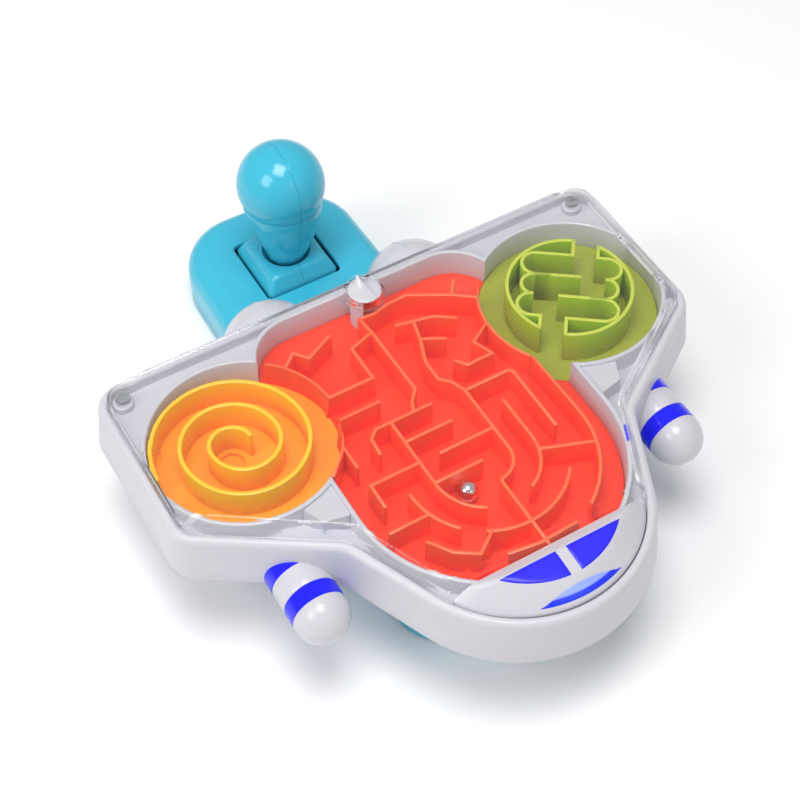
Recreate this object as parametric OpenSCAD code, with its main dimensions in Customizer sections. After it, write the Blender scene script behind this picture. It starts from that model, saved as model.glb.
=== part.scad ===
// Tilt maze game: a spaceship-shaped marble maze on a console with a joystick.
// +Z is up, the ship's nose points along -Y, the joystick stands towards +Y.
// The origin is on the table, under the middle of the whole game.

/* [Ship tray] */
// Height of the top of the pocket walls above the table
deck_z = 66; // [62:1:72]
// Y of the line through the centres of the two round pockets
tray_y = -10; // [-14:1:-6]
// Distance from the centre line to the inside of the tray's rim
rim_x = 106.3; // [104:0.1:110]
// Y of the inside of the back rim, from the pocket line
rim_back = 45.5; // [44:0.5:50]
// Radius of the inside of the nose
nose_r = 47; // [44:1:50]
// Thickness of the rim along its top
rim_wall = 3.6; // [3:0.2:5]
// How far the skirt's foot stands out beyond the inside of the rim
skirt_out = 6; // [5:0.5:7]
// Depth of the rim's top below the pocket walls
rim_drop = 3; // [2:0.5:4]
// Depth of the tray's underside below the pocket walls
hull_depth = 24; // [22:1:26]
// Depth of the recessed deck between the pockets and the rim
deck_drop = 8; // [6:1:9]
// Wall thickness of the white mouldings
wall = 1.8; // [1.4:0.1:2.4]

/* [Pockets] */
// Distance from the centre line to a round pocket's centre
pocket_x = 70; // [68:1:72]
// Radius of a round pocket
pocket_r = 35.2; // [34:0.1:36]
// Half width of the middle pocket
middle_x = 50.9; // [49:0.1:52]
// Depth of the playing floor below the pocket walls
floor_drop = 12; // [11:0.5:13]
// Thickness of a coloured maze insert's floor
insert_floor = 2; // [1.5:0.1:2.5]

/* [Mazes and ball] */
// Steel ball diameter
ball_d = 8; // [7:0.5:8.5]
// Pitch of the red maze's lanes
lane = 10.3; // [10:0.1:10.6]
// Thickness of the maze walls
maze_wall = 1.3; // [1.1:0.1:1.6]
// Pitch of the yellow spiral
spiral_pitch = 10.5; // [10:0.1:11]
// Outside radius of the green maze's ring
ring_r = 24.7; // [24:0.1:25]

/* [Clear cover] */
// Height of the cover's top above the pocket walls
cover_top = 5; // [4.5:0.5:6]
// Thickness of the cover
cover_wall = 1.8; // [1.5:0.1:2]
// Y of the ball port from the pocket line
port_y = 36; // [35:0.5:37]
// Outside radius of the ball port's collar
port_r = 8; // [7.5:0.1:8.5]

/* [Cannons and engine bells] */
// Distance from the centre line to a cannon
cannon_x = 75.6; // [74:0.2:78]
// Radius of a cannon
cannon_r = 10.5; // [9.5:0.1:11]
// Distance from the centre line to an engine bell
bell_x = 32.5; // [30:0.5:34]
// Radius of an engine bell
bell_r = 20; // [18:0.5:21]

/* [Base and joystick] */
// Overall length of the game, from the nose to the back of the base
total_len = 265.2; // [262:0.2:270]
// Half width of the base at the joystick
base_back_x = 38; // [36:1:40]
// Half width of the base under the nose
base_front_x = 42; // [40:1:44]
// Height of the base's top above the table
base_h = 25; // [24:0.5:26]
// Rounding of the base's upper edge
base_round = 9; // [6:1:10]
// Side of the square recess round the joystick
recess = 34.4; // [34:0.2:36]
// Height of the centre of the knob above the table
knob_z = 69; // [66:1:72]
// Radius of the knob
knob_r = 18; // [17:0.5:19]
// Most that the joystick and the tray tilt each way, in degrees
tilt = 7; // [5:1:7]

/* [Hidden] */
$fn = 72;
gap = 0.2;                 // space left between neighbouring mouldings
run = 0.06;                // radial clearance of a running pin
white = [0.86, 0.86, 0.89];
teal = [0.25, 0.72, 0.83];
blue = [0.1, 0.1, 0.9];
steel = [0.75, 0.76, 0.78];

pivot_z = 19;              // height of both tilt axes above the table
stick_y = tray_y + 104.5;   // Y of the joystick's pivot
post_y = tray_y - 34;      // Y of the tray's pivot
arm = 10;                  // length of the two arms that the link rod joins
pin_r = 1.5;
base_back_y = total_len / 2;
base_front_y = tray_y - 80;
shell_t = 2.2;             // wall of the base and of the joystick
base_lift = 1;             // the feet hold the base this far off the table
neck_foot = 23.2;          // lowest point of the joystick's neck
skirt_top = 31;            // top of the pyramid round the neck
ring_in = ring_r - maze_wall;
slope_deg = 33.2;          // angle of the wings' front edges

// Corners of the inside of the rim with their radii, once round from the nose.
// A negative radius marks an inside corner.
slope_end = -51 + tan(slope_deg) * (rim_x - 63.9);
rim_half = [[57.9, -54.9, -12], [rim_x, slope_end, 9], [rim_x, rim_back, 7.5]];
rim_corners = concat([[0, -185.1, nose_r]], rim_half,
    [for (i = [2:-1:0]) [-rim_half[i][0], rim_half[i][1], rim_half[i][2]]]);

// Corners of the clear cover's raised part, before the nose is cut off it.
lid_half = [[54.5, -55.5, -12], [100.8, slope_end - 0.6, 9], [100.8, 43, 12]];
lid_corners = concat([[0, -178, 44]], lid_half,
    [for (i = [2:-1:0]) [-lid_half[i][0], lid_half[i][1], lid_half[i][2]]]);

// A rounded outline moved outwards by d, as a list of points.
function unit(v) = v / norm(v);
function flat(v) = [v[0], v[1]];
function corner_arc(p, v, q, r, d, n) =
    let (
        a = unit(p - v),
        b = unit(q - v),
        m = unit(a + b),
        half = acos(a * b) / 2,
        inward = r < 0,
        c = v + m * abs(r) / sin(half),
        radius = inward ? -r - d : r + d,
        start = c - a * (a * (c - v)),
        stop = c - b * (b * (c - v)),
        t0 = atan2((v + a * (a * (c - v)) - c)[1], (v + a * (a * (c - v)) - c)[0]),
        sweep = (180 - 2 * half) * (inward ? -1 : 1)
    )
    [for (i = [0:n]) c + radius * [cos(t0 + sweep * i / n), sin(t0 + sweep * i / n)]];
function outline(corners, d = 0, n = 10) =
    let (k = len(corners))
    [for (i = [0:k - 1]) each corner_arc(
        flat(corners[(i + k - 1) % k]), flat(corners[i]), flat(corners[(i + 1) % k]),
        corners[i][2], d, i == 0 ? 3 * n : n)];

// A solid through outlines that all have the same number of points.
// Each section is [height, outline].
module loft(sections) {
    n = len(sections[0][1]);
    k = len(sections);
    points = [for (s = sections) for (p = s[1]) [p[0], p[1], s[0]]];
    side = [for (j = [0:k - 2]) for (i = [0:n - 1])
        let (a = j * n + i, b = j * n + (i + 1) % n)
        each [[b, a, a + n], [b, a + n, b + n]]];
    bottom = [[for (i = [0:n - 1]) i]];
    top = [[for (i = [n - 1:-1:0]) (k - 1) * n + i]];
    polyhedron(points, concat(bottom, side, top), convexity = 10);
}

// A closed tube through outlines: the last section joins the first again.
module ring_loft(sections) {
    n = len(sections[0][1]);
    k = len(sections);
    points = [for (s = sections) for (p = s[1]) [p[0], p[1], s[0]]];
    side = [for (j = [0:k - 1]) for (i = [0:n - 1])
        let (a = j * n + i, b = j * n + (i + 1) % n, c = ((j + 1) % k) * n + i, d = ((j + 1) % k) * n + (i + 1) % n)
        each [[b, a, c], [b, c, d]]];
    polyhedron(points, side, convexity = 10);
}

module in_tray() {
    translate([0, tray_y, deck_z]) children();
}

module slab(z0, z1) {
    translate([0, 0, z0]) linear_extrude(z1 - z0) children();
}

module both_sides() {
    children();
    mirror([1, 0, 0]) children();
}

// ---------------------------------------------------------------- base

module base_solid(inset, top) {
    round_z = top - base_round;
    corners = [
        [base_front_x - 22, base_front_y + 22, 22 - inset],
        [base_back_x - 26, base_back_y - 26, 26 - inset]
    ];
    hull() both_sides() for (c = corners) translate([c[0], c[1], 0]) {
        translate([0, 0, base_lift]) cylinder(r = c[2], h = round_z - base_lift, $fn = 32);
        translate([0, 0, round_z - 0.01]) rotate_extrude($fn = 32) intersection() {
            translate([c[2] - base_round + inset, 0]) circle(base_round - inset, $fn = 32);
            square([c[2], base_round]);
        }
        translate([0, 0, round_z]) cylinder(r = c[2] - base_round + inset, h = base_round - inset, $fn = 32);
    }
}

base_screw_spots = [[-26, 112], [26, 112], [-30, -70], [30, -70]];
post_hole = [23, 22];      // opening in the base's top for the tray's post

module base_shell() color(teal) {
    difference() {
        base_solid(0, base_h);
        translate([0, 0, -0.01]) base_solid(shell_t, base_h);
        translate([-recess / 2, stick_y - recess / 2, 0]) cube([recess, recess, base_h + 1]);
        translate([-post_hole[0] / 2, post_y - post_hole[1] / 2, 0]) cube([post_hole[0], post_hole[1], base_h + 1]);
    }
    for (p = base_screw_spots) translate([p[0], p[1], 3.2]) difference() {
        cylinder(r = 3.5, h = base_h - shell_t - 3.2 + 0.5);
        translate([0, 0, -1]) cylinder(r = 1.2, h = 13);
    }
}

module base_plan(inset) {
    hull() both_sides() {
        translate([base_front_x - 22, base_front_y + 22]) circle(22 - inset, $fn = 32);
        translate([base_back_x - 26, base_back_y - 26]) circle(26 - inset, $fn = 32);
    }
}

foot_spots = [[-24, 98], [24, 98], [-28, -57], [28, -57]];

module base_plate() color(teal * 0.8) difference() {
    slab(base_lift, 3) base_plan(shell_t + gap);
    for (p = base_screw_spots) translate([p[0], p[1], 0]) cylinder(r = 1.6, h = 10);
    for (p = base_screw_spots) translate([p[0], p[1], 0]) cylinder(r = 3.1, h = base_lift + 1.2);
    for (p = foot_spots) translate([p[0], p[1], 0]) cylinder(r = 6.2, h = base_lift + 0.8);
}

module feet() color([0.2, 0.2, 0.22])
    for (p = foot_spots) translate([p[0], p[1], 0]) cylinder(r = 6, h = base_lift + 0.8);

module screw(r, length, head_r, head_h) {
    difference() {
        union() {
            cylinder(r = head_r, h = head_h);
            translate([0, 0, head_h]) cylinder(r = r, h = length);
        }
        for (a = [0, 90]) rotate(a) translate([-head_r * 0.6, -0.35, -1]) cube([head_r * 1.2, 0.7, 1.6]);
    }
}

module base_screws() color(steel)
    for (p = base_screw_spots) translate([p[0], p[1], base_lift + 0.2]) screw(1.15, 9, 2.8, 1);

bearing_spots = [post_y - 24, stick_y + 23];   // Y of the middle of each bearing block
bearing_t = 6;

module bearing_blocks() color([0.35, 0.36, 0.38]) for (y = bearing_spots) difference() {
    translate([-8, y - bearing_t / 2, 3]) cube([16, bearing_t, base_h - shell_t - gap - 3]);
    translate([0, y + bearing_t, pivot_z]) rotate([90, 0, 0]) cylinder(r = 2.5 + run, h = 2 * bearing_t);
}

// ------------------------------------------------------------- linkage

rail_x = [6.6, 9.6];       // inner and outer face of the rocker's rails

module pin_hole(y, z, r, half) {
    translate([-half, y, z]) rotate([0, 90, 0]) cylinder(r = r, h = 2 * half);
}

module rocker_frame() color([0.3, 0.31, 0.34]) difference() {
    union() {
        for (y = [post_y, stick_y]) both_sides()
            translate([rail_x[0], y, pivot_z]) rotate([0, 90, 0]) cylinder(r = 3.5, h = rail_x[1] - rail_x[0]);
        both_sides() translate([rail_x[0], bearing_spots[0] + 5, pivot_z - 5.5])
            cube([rail_x[1] - rail_x[0], bearing_spots[1] - bearing_spots[0] - 8.6, 4.5]);
        for (y = [bearing_spots[0] + 5, bearing_spots[1] - 6.1])
            translate([-rail_x[1], y, pivot_z - 5.5]) cube([2 * rail_x[1], 2.5, 7]);
        translate([0, bearing_spots[0] + 6, pivot_z]) rotate([90, 0, 0]) cylinder(r = 2.5, h = 8.5);
        translate([0, bearing_spots[1] - 6, pivot_z]) rotate([-90, 0, 0]) cylinder(r = 2.5, h = 8.5);
    }
    for (y = [post_y, stick_y]) pin_hole(y, pivot_z, pin_r, 12);
}

module stick_pin() color(steel) pin_hole(stick_y, pivot_z, pin_r, rail_x[1]);
module tray_pin() color(steel) pin_hole(post_y, pivot_z, pin_r, rail_x[1]);

// Fork at the foot of an arm, for the link rod's eye.
module fork(y) {
    for (s = [-1, 1]) translate([s * 3.4 - 1.1, y, pivot_z - arm]) rotate([0, 90, 0]) cylinder(r = 3.2, h = 2.2);
    for (s = [-1, 1]) translate([s * 3.4 - 1.1, y - 3.2, pivot_z - arm]) cube([2.2, 6.4, arm]);
}

module stick_yoke() color([0.85, 0.85, 0.86]) translate([0, 0, 0]) difference() {
    union() {
        translate([0, stick_y, pivot_z + 2]) cylinder(r = 4.2, h = 30);
        translate([-4.5, stick_y, pivot_z]) rotate([0, 90, 0]) cylinder(r = 4, h = 9);
        fork(stick_y);
    }
    pin_hole(stick_y, pivot_z, pin_r + run, 12);
    pin_hole(stick_y, pivot_z - arm, pin_r, 12);
}

module rear_link_pin() color(steel) pin_hole(stick_y, pivot_z - arm, pin_r, 4.5);
module front_link_pin() color(steel) pin_hole(post_y, pivot_z - arm, pin_r, 4.5);

module link_rod() color([0.85, 0.85, 0.86]) difference() {
    union() {
        for (y = [post_y, stick_y]) translate([-2, y, pivot_z - arm]) rotate([0, 90, 0]) cylinder(r = 3.2, h = 4);
        translate([-2, post_y, pivot_z - arm - 1.6]) cube([4, stick_y - post_y, 3.2]);
    }
    pin_hole(stick_y, pivot_z - arm, pin_r + run, 6);
    pin_hole(post_y, pivot_z - arm, pin_r + 0.4, 6);
}

// ------------------------------------------------------------ joystick

// Outer profile of the knob and neck, from the foot up, as [radius, height].
knob_low = -24;            // angle below the equator where the neck begins
neck = [[5.2, neck_foot], [6.4, 26.2], [8.6, 30.2], [10.8, 35.5], [12.8, 41.5], [14.5, 48], [15.8, 54.5],
    [16.35, 58.5]];
knob_arc = [for (a = [knob_low:6:90]) [knob_r * cos(a), knob_z + knob_r * sin(a)]];
neck_inner = [for (p = neck) [max(p[0] - shell_t, 4.3), p[1]]];
knob_inner = [for (a = [knob_low:6:84]) [(knob_r - shell_t) * cos(a), knob_z + (knob_r - shell_t) * sin(a)]];

module stick_shell() {
    rotate_extrude() polygon(concat(
        neck, knob_arc,
        [[0, knob_z + knob_r - shell_t]],
        [for (i = [len(knob_inner) - 1:-1:0]) knob_inner[i]],
        [for (i = [len(neck_inner) - 1:-1:0]) neck_inner[i]]));
}

skirt_half = recess / 2 - 1.1;
skirt_ridge = 11.5;        // half width of the pyramid's top

module pyramid(inset, foot, top) {
    hull() {
        translate([-skirt_half + inset, -skirt_half + inset, foot])
            cube([2 * (skirt_half - inset), 2 * (skirt_half - inset), 24 - foot]);
        translate([-skirt_ridge + inset, -skirt_ridge + inset, top - 0.5])
            cube([2 * (skirt_ridge - inset), 2 * (skirt_ridge - inset), 0.5]);
    }
}

module stick_body() {
    stick_shell();
    difference() {
        pyramid(0, 21, skirt_top);
        pyramid(1.6, 20, skirt_top - 1.6);
        translate([0, 0, skirt_top - 4]) cylinder(r = 10.6, h = 6);
    }
    // the cup that the neck stands in
    rotate_extrude() polygon([[4.3, neck_foot], [6, neck_foot], [11.3, skirt_top - 1.2], [11.3, skirt_top],
        [10.4, skirt_top], [5.4, neck_foot + 1.4], [4.3, neck_foot + 1.4]]);
}

module stick_half(side) {
    difference() {
        stick_body();
        translate([side < 0 ? -0.05 : -40, -40, 0]) cube([40.05, 80, 100]);
        if (side > 0) translate([0, 0, stick_screw_z]) rotate([0, 90, 0]) cylinder(r = 2.6, h = 30);
    }
}

stick_screw_z = knob_z + 5;

module stick_left_half() color(teal) translate([0, stick_y, 0]) {
    stick_half(-1);
    translate([-0.05, 0, stick_screw_z]) rotate([0, -90, 0]) difference() {
        cylinder(r = 3, h = 16);
        translate([0, 0, -1]) cylinder(r = 1.2, h = 12);
    }
}
module stick_right_half() color(teal) translate([0, stick_y, 0]) {
    stick_half(1);
    translate([0, 0, stick_screw_z]) rotate([0, 90, 0]) difference() {
        cylinder(r = 4, h = 16);
        translate([0, 0, -1]) cylinder(r = 1.5, h = 30);
        translate([0, 0, 11]) cylinder(r = 2.6, h = 30);
    }
}
module stick_screws() color(steel)
    translate([12.2, stick_y, stick_screw_z]) rotate([0, -90, 0]) screw(1.15, 10, 2.4, 1.2);

// ---------------------------------------------------------------- tray

// Plan of the three merged pockets, grown by d.
middle_low = -50;          // Y where the middle pocket's front begins to curve
nose_cut = -92.9;          // Y of the cockpit's straight back edge
module well(d) {
    both_sides() translate([pocket_x, 0]) circle(pocket_r + d, $fn = 96);
    middle_well(d);
}
module middle_well(d) {
    intersection() {
        union() {
            translate([0, middle_low]) circle(middle_x + d, $fn = 128);
            both_sides() translate([31.9, 23]) circle(19 + d, $fn = 72);
            translate([-31.9, 0]) square([63.8, 42 + d]);
            translate([-middle_x - d, middle_low]) square([2 * (middle_x + d), 73]);
        }
        translate([-80, nose_cut - d]) square([160, 160]);
    }
}

post_pad = [44, 36];       // flange of the tray's post under the floor
cover_screw_spots = [[-99.3, 41.3], [99.3, 41.3]];
cannon_axis_z = -21.8;

module skirt_outside(d = 0) {
    loft([
        [-hull_depth, outline(rim_corners, skirt_out - 1 - d)],
        [-hull_depth + 1.2, outline(rim_corners, skirt_out - d)],
        [-rim_drop - 2.4, outline(rim_corners, rim_wall - d)],
        [-rim_drop - 0.7, outline(rim_corners, rim_wall - 0.7 - d)],
        [-rim_drop, outline(rim_corners, rim_wall - 1.9 - d)]
    ]);
}

// Room left under the clear cover, for the tops of the walls.
under_cover = [[-40, -5, -1], [-5, -2.5, 0.1], [-2.5, 0.01, 0.5], [0, 3, 1]];
module below_cover() {
    for (u = under_cover) slab(u[0], u[1])
        if (u[2] < 0) polygon(outline(rim_corners, 10));
        else polygon(cover_inside(u[2], 0.3));
}
// The cover's inside, t of the way from its foot at the rim to its flat top.
function cover_inside(t, g = 0) =
    let (
        foot = outline(rim_corners, -2.2 - g),
        top = outline(lid_corners, -1.4 - g)
    )
    [for (i = [0:len(foot) - 1]) foot[i] * (1 - t) + top[i] * t];

pillar_z = -hull_depth + 0.4 + wall + 0.1;
floor_under = -floor_drop - insert_floor - wall;

module tray_hull() color(white) in_tray() {
    difference() {
        skirt_outside();
        slab(-deck_drop, 1) polygon(outline(rim_corners));
        slab(-hull_depth - 1, -deck_drop - wall) polygon(outline(rim_corners, 1.8));
        slab(-deck_drop - wall - 1, 1) well(0);
        for (s = [-1, 1]) translate([s * cannon_x, -38, cannon_axis_z])
            rotate([90, 0, 0]) cylinder(r = cannon_r + 0.2, h = 40);
    }
    intersection() {
        slab(floor_under, 0) difference() {
            well(wall);
            well(0);
            translate([-40, -130]) square([80, 130 + nose_cut + 0.01]);
        }
        below_cover();
    }
    slab(floor_under, -rim_drop - 1) intersection() {
        difference() {
            middle_well(wall);
            middle_well(0);
        }
        translate([-40, -130]) square([80, 130 + nose_cut + 0.01]);
    }
    difference() {
        slab(floor_under, -floor_drop - insert_floor) well(0.1);
        for (p = post_screw_spots) translate([p[0], p[1] - tray_y, floor_under - 1]) cylinder(r = 1.2, h = 2.6);
    }
    for (p = cover_screw_spots) translate([p[0], p[1], -deck_drop - 0.1]) difference() {
        cylinder(r = 4, h = deck_drop - 4.9);
        translate([0, 0, 0.5]) cylinder(r = 1.2, h = 10);
    }
    for (p = pan_screw_spots) translate([p[0], p[1], pillar_z]) difference() {
        cylinder(r = 3.2, h = -deck_drop - wall / 2 - pillar_z);
        translate([0, 0, -1]) cylinder(r = 1.2, h = 10);
    }
}

pan_screw_spots = [[-97, 36], [97, 36], [-61, -40.5], [61, -40.5], [0, -101]];

module hull_pan() color(white * 0.95) in_tray() difference() {
    slab(-hull_depth + 0.4, -hull_depth + 0.4 + wall) polygon(outline(rim_corners, 1.5));
    for (s = [-1, 1]) translate([s * cannon_x - cannon_r - 0.7, -70, -hull_depth - 1])
        cube([2 * cannon_r + 1.4, 33, 10]);
    translate([-10, -44, -hull_depth - 1]) cube([20, 20, 10]);
    for (p = pan_screw_spots) translate([p[0], p[1], -hull_depth - 1]) cylinder(r = 1.6, h = 10);
}

module pan_screws() color(steel) in_tray()
    for (p = pan_screw_spots) translate([p[0], p[1], -hull_depth - 0.7]) screw(1.15, 6, 2.8, 1);

module tray_post() color([0.85, 0.85, 0.86]) {
    pad_z = deck_z - floor_drop - insert_floor - wall;
    difference() {
        union() {
            translate([-5.5, post_y - 5.5, pivot_z]) cube([11, 11, pad_z - 2 - pivot_z]);
            translate([-5.5, post_y, pivot_z]) rotate([0, 90, 0]) cylinder(r = 5.5, h = 11);
            translate([-post_pad[0] / 2, post_y - post_pad[1] / 2, pad_z - 2.4]) cube([post_pad[0], post_pad[1], 2.4]);
            fork(post_y);
        }
        pin_hole(post_y, pivot_z, pin_r + run, 12);
        pin_hole(post_y, pivot_z - arm, pin_r, 12);
        translate([-2.3, post_y - 8, pivot_z - arm - 4]) cube([4.6, 16, 9]);
        for (p = post_screw_spots) translate([p[0], p[1], pad_z - 5]) cylinder(r = 1.5, h = 10);
    }
}

post_screw_spots = [for (x = [-17, 17]) for (y = [-13, 13]) [x, post_y + y]];

module post_screws() color(steel)
    for (p = post_screw_spots)
        translate([p[0], p[1], deck_z + floor_under - 3.4]) screw(1.15, 3.7, 2.6, 1);

// --------------------------------------------------------------- mazes

// Points along an arc, with its centre, radius, first and last angle.
function arc(c, r, a0, a1, n = 10) = [for (i = [0:n]) c + r * [cos(a0 + (a1 - a0) * i / n), sin(a0 + (a1 - a0) * i / n)]];

// One side of a wall that follows a path, h to its left, with mitred corners.
wall_end = 0.4;            // how far a wall runs on past the ends of its path
function left_of(v) = [-v[1], v[0]];
function side_point(p, i, h) =
    let (
        n = len(p) - 1,
        a = unit(i > 0 ? p[i] - p[i - 1] : p[1] - p[0]),
        b = unit(i < n ? p[i + 1] - p[i] : p[n] - p[n - 1]),
        m = unit(left_of(a) + left_of(b)),
        past = i == 0 ? -a * wall_end : i == n ? a * wall_end : [0, 0]
    )
    p[i] + past + m * h / (m * left_of(a));
function wall_side(p, h) = [for (i = [0:len(p) - 1]) side_point(p, i, h)];
function no_repeats(p) = [for (i = [0:len(p) - 1]) if (i == 0 || norm(p[i] - p[max(i - 1, 0)]) > 0.01) p[i]];
module wall_along(path, t) {
    p = no_repeats(path);
    polygon(concat(wall_side(p, -t / 2), [for (i = [len(p) - 1:-1:0]) side_point(p, i, t / 2)]));
}

// The red maze is laid out in lanes, counted from the middle of its round front.
function grid(i, j) = [i * lane, middle_low - 0.3 + j * lane];
function lanes(list) = [for (p = list) grid(p[0], p[1])];
function round_lane(r, a0, a1) = arc(grid(0, 0), r * lane, a0, a1);

red_paths = [
    lanes([[-4.1, 7], [-3.5, 7.5], [-3.1, 7], [-1.95, 7.55]]),
    lanes([[-3.45, 5.05], [-1.55, 5.05], [-1.55, 6.6], [-0.6, 6.9]]),
    lanes([[-0.6, 7.7], [-0.53, 6.8], [-0.5, 3.85], [-0.9, 3.4], [-1.05, 3]]),
    lanes([[-0.35, 3], [-2.6, 3], [-2.95, 2.7], [-3, 2]]),
    lanes([[-2, 3], [-2, 0]]),
    concat(round_lane(2, 180, 240), []),
    lanes([[-2, 2], [-0.1, 2]]),
    lanes([[-1.15, 1], [1, 1]]),
    lanes([[-1.9, 4], [-3.55, 4], [-3.75, 3.7], [-3.8, 3.25], [-4.05, 2.8], [-4.35, 2.5], [-4.85, 2]]),
    lanes([[-3.97, 2.9], [-3.97, 1.9]]),
    concat(lanes([[0.4, 6.75], [1.05, 6.6], [0.85, 5.8], [0.45, 4.7], [0.45, 3.8], [0.8, 3.45], [1, 2.9]]),
        round_lane(1, 0, -84), lanes([[0.02, -1.1], [0.03, -4]])),
    lanes([[1.05, 6.6], [1.8, 6.45], [2.5, 5.95]]),
    lanes([[0.83, 5.75], [1.65, 5.3]]),
    lanes([[-0.6, 7.7], [0, 7.65], [0.6, 7.8], [1.45, 7.85], [2.95, 7], [3.75, 6.4]]),
    lanes([[2.95, 7], [3.4, 7.6]]),
    lanes([[3.75, 6.4], [4.05, 6.85]]),
    lanes([[3.4, 5.2], [2.45, 4.65], [2.75, 3.85], [1.7, 3.85], [1.4, 4.25]]),
    lanes([[1, 2.9], [2.85, 2.9], [2.95, 2.75], [2.95, 0]]),
    concat(lanes([[1.95, 1.85]]), round_lane(1.95, 0, -65)),
    concat(lanes([[3.93, 2.95]]), round_lane(4, 0, -57)),
    lanes([[-2, 1], [-3.95, 1], [-3.95, 0]]),
    lanes([[-2, 0], [-0.1, 0]]),
    concat(round_lane(2.98, 180, 222), []),
    lanes([[-2.85, -1], [-4.35, -1]]),
    lanes([[1.9, -0.6], [3.75, -1.3]]),
    round_lane(2.95, 322, 240),
    lanes([[-1.3, -2.6], [-2.15, -3.2], [-2.9, -2.7], [-3.45, -1.9]]),
    lanes([[-1.35, -3.65], [-0.2, -3.82], [1.3, -3.75]]),
    arc([-pocket_x, 0], pocket_r + 0.3, 3, 50),
    arc([pocket_x, 0], pocket_r + 0.3, 154, 212)
];

module red_maze() color([1, 0.33, 0.25]) in_tray() {
    slab(-floor_drop - insert_floor, -floor_drop) difference() {
        middle_well(-gap);
        both_sides() translate([pocket_x, 0]) circle(pocket_r - gap / 2, $fn = 96);
    }
    for (path = red_paths) slab(-floor_drop - 0.5, -1) difference() {
        wall_along(path, maze_wall);
        both_sides() translate([pocket_x, 0]) circle(pocket_r - gap / 2, $fn = 96);
    }
}

spiral_wall = 1.6;

// Half turns about two centres half a pitch apart give the spiral.
half_pitch = spiral_pitch / 2;
spiral_r = pocket_r - gap - spiral_wall / 2;
spiral_path = concat(
    arc([-half_pitch, 0], spiral_r - half_pitch, 178, 0, 20),
    arc([0, 0], spiral_r - 2 * half_pitch, 0, -180, 20),
    arc([-half_pitch, 0], spiral_r - 3 * half_pitch, 180, 0, 16),
    arc([0, 0], spiral_r - 4 * half_pitch, 0, -180, 14),
    arc([-half_pitch, 0], spiral_r - 5 * half_pitch, 180, 4, 12));

module yellow_spiral() color([1, 0.68, 0.12]) in_tray() {
    translate([-pocket_x, 0, -floor_drop - insert_floor]) difference() {
        cylinder(r = pocket_r - gap, h = insert_floor, $fn = 96);
        translate([-half_pitch, 1, -1]) cylinder(r = ball_d / 2 + 0.4, h = 5);
    }
    intersection() {
        slab(-floor_drop - 0.5, 0) translate([-pocket_x, 0]) wall_along(spiral_path, spiral_wall);
        below_cover();
    }
}

// The two walls of one of the green maze's two equal comb blocks.
green_ring = arc([0, 0], ring_r - maze_wall / 2, 245, 88.8, 24);
green_comb = concat(
    [[0.5, ring_in + 0.2]], [[0.5, 16.2]],
    arc([-13.5, 10.7], 5.5, 90, 270, 12),
    [[3.8, 5.2]]);
green_fingers = [
    concat([[-8, 5.2]], arc([-13.3, 0], 5.2, 90, 248, 10)),
    concat([[-14, -4.9]], arc([-14, -10.3], 5.5, 98, 270, 12), [[-10.3, -15.8], [-10.3, -21.6]])
];

module green_maze() color([0.68, 0.78, 0.2]) in_tray() translate([pocket_x, 0, 0]) {
    translate([0, 0, -floor_drop - insert_floor]) cylinder(r = pocket_r - gap, h = insert_floor, $fn = 96);
    for (a = [0, 180]) rotate([0, 0, a - 36.5]) {
        slab(-floor_drop - 0.5, 2.5) wall_along(green_ring, maze_wall);
        slab(-floor_drop - 0.5, 2.5) wall_along(green_comb, maze_wall);
        for (f = green_fingers) slab(-floor_drop - 0.5, 2.5) wall_along(f, maze_wall);
    }
}

// Half-round chute that takes the ball from the port down to the maze floor.
module start_chute() color(white) in_tray() translate([0, port_y, 0]) {
    difference() {
        translate([0, 0, -floor_drop]) cylinder(r = port_r - 2.3, h = floor_drop + 1);
        translate([0, 0, -floor_drop - 1]) cylinder(r = port_r - 3.6, h = floor_drop + 3);
        translate([0, -20, -floor_drop - 1]) cube([20, 40, floor_drop + 3]);
        translate([-20, -20, -floor_drop - 1]) cube([40, 17, floor_drop + 3]);
    }
}

module ball() color([0.8, 0.81, 0.83]) in_tray()
    translate([-9.7, ball_y, -floor_drop + ball_d / 2 + 0.03]) sphere(d = ball_d);
ball_y = middle_low - 0.3 - maze_wall / 2 - ball_d / 2 - 0.1;

// --------------------------------------------------------------- cover

module behind_cockpit() {
    translate([-120, nose_cut + gap, -20]) cube([240, 180, 40]);
}

module clear_cover() color([0.85, 0.88, 0.92, 0.35]) in_tray() difference() {
    union() {
        intersection() {
            union() {
                ring_loft([
                    [-rim_drop - cover_wall, outline(rim_corners, -2.2)],
                    [-rim_drop - cover_wall, outline(rim_corners, -0.3)],
                    [-rim_drop - 0.4, outline(rim_corners, -0.3)],
                    [cover_top - 0.6, outline(lid_corners, 0)],
                    [cover_top, outline(lid_corners, -0.6)],
                    [cover_top, outline(lid_corners, -3)],
                    [cover_top - cover_wall, outline(lid_corners, -3)],
                    [cover_top - cover_wall, outline(lid_corners, -1.4)],
                    [-rim_drop - 0.2, outline(rim_corners, -2.2)]
                ]);
                slab(cover_top - cover_wall + 0.05, cover_top - 0.05) polygon(outline(lid_corners, -2));
            }
            behind_cockpit();
        }
        for (p = cover_screw_spots) translate([p[0], p[1], -rim_drop - cover_wall + 0.2])
            cylinder(r = 4, h = cover_wall - 0.2);
        translate([0, port_y, 1.4]) cylinder(r = port_r, h = cover_top - 1);
    }
    translate([0, port_y, -1]) cylinder(r = port_r - 1.2, h = 20);
    for (p = cover_screw_spots) translate([p[0], p[1], -10]) cylinder(r = 1.5, h = 12);
    for (p = cover_screw_spots) translate([p[0], p[1], -rim_drop]) cylinder(r = 3.2, h = 12);
}

module cover_screws() color(steel) in_tray()
    for (p = cover_screw_spots) translate([p[0], p[1], -rim_drop + 1]) mirror([0, 0, 1]) screw(1.15, 4, 2.5, 1);

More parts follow.
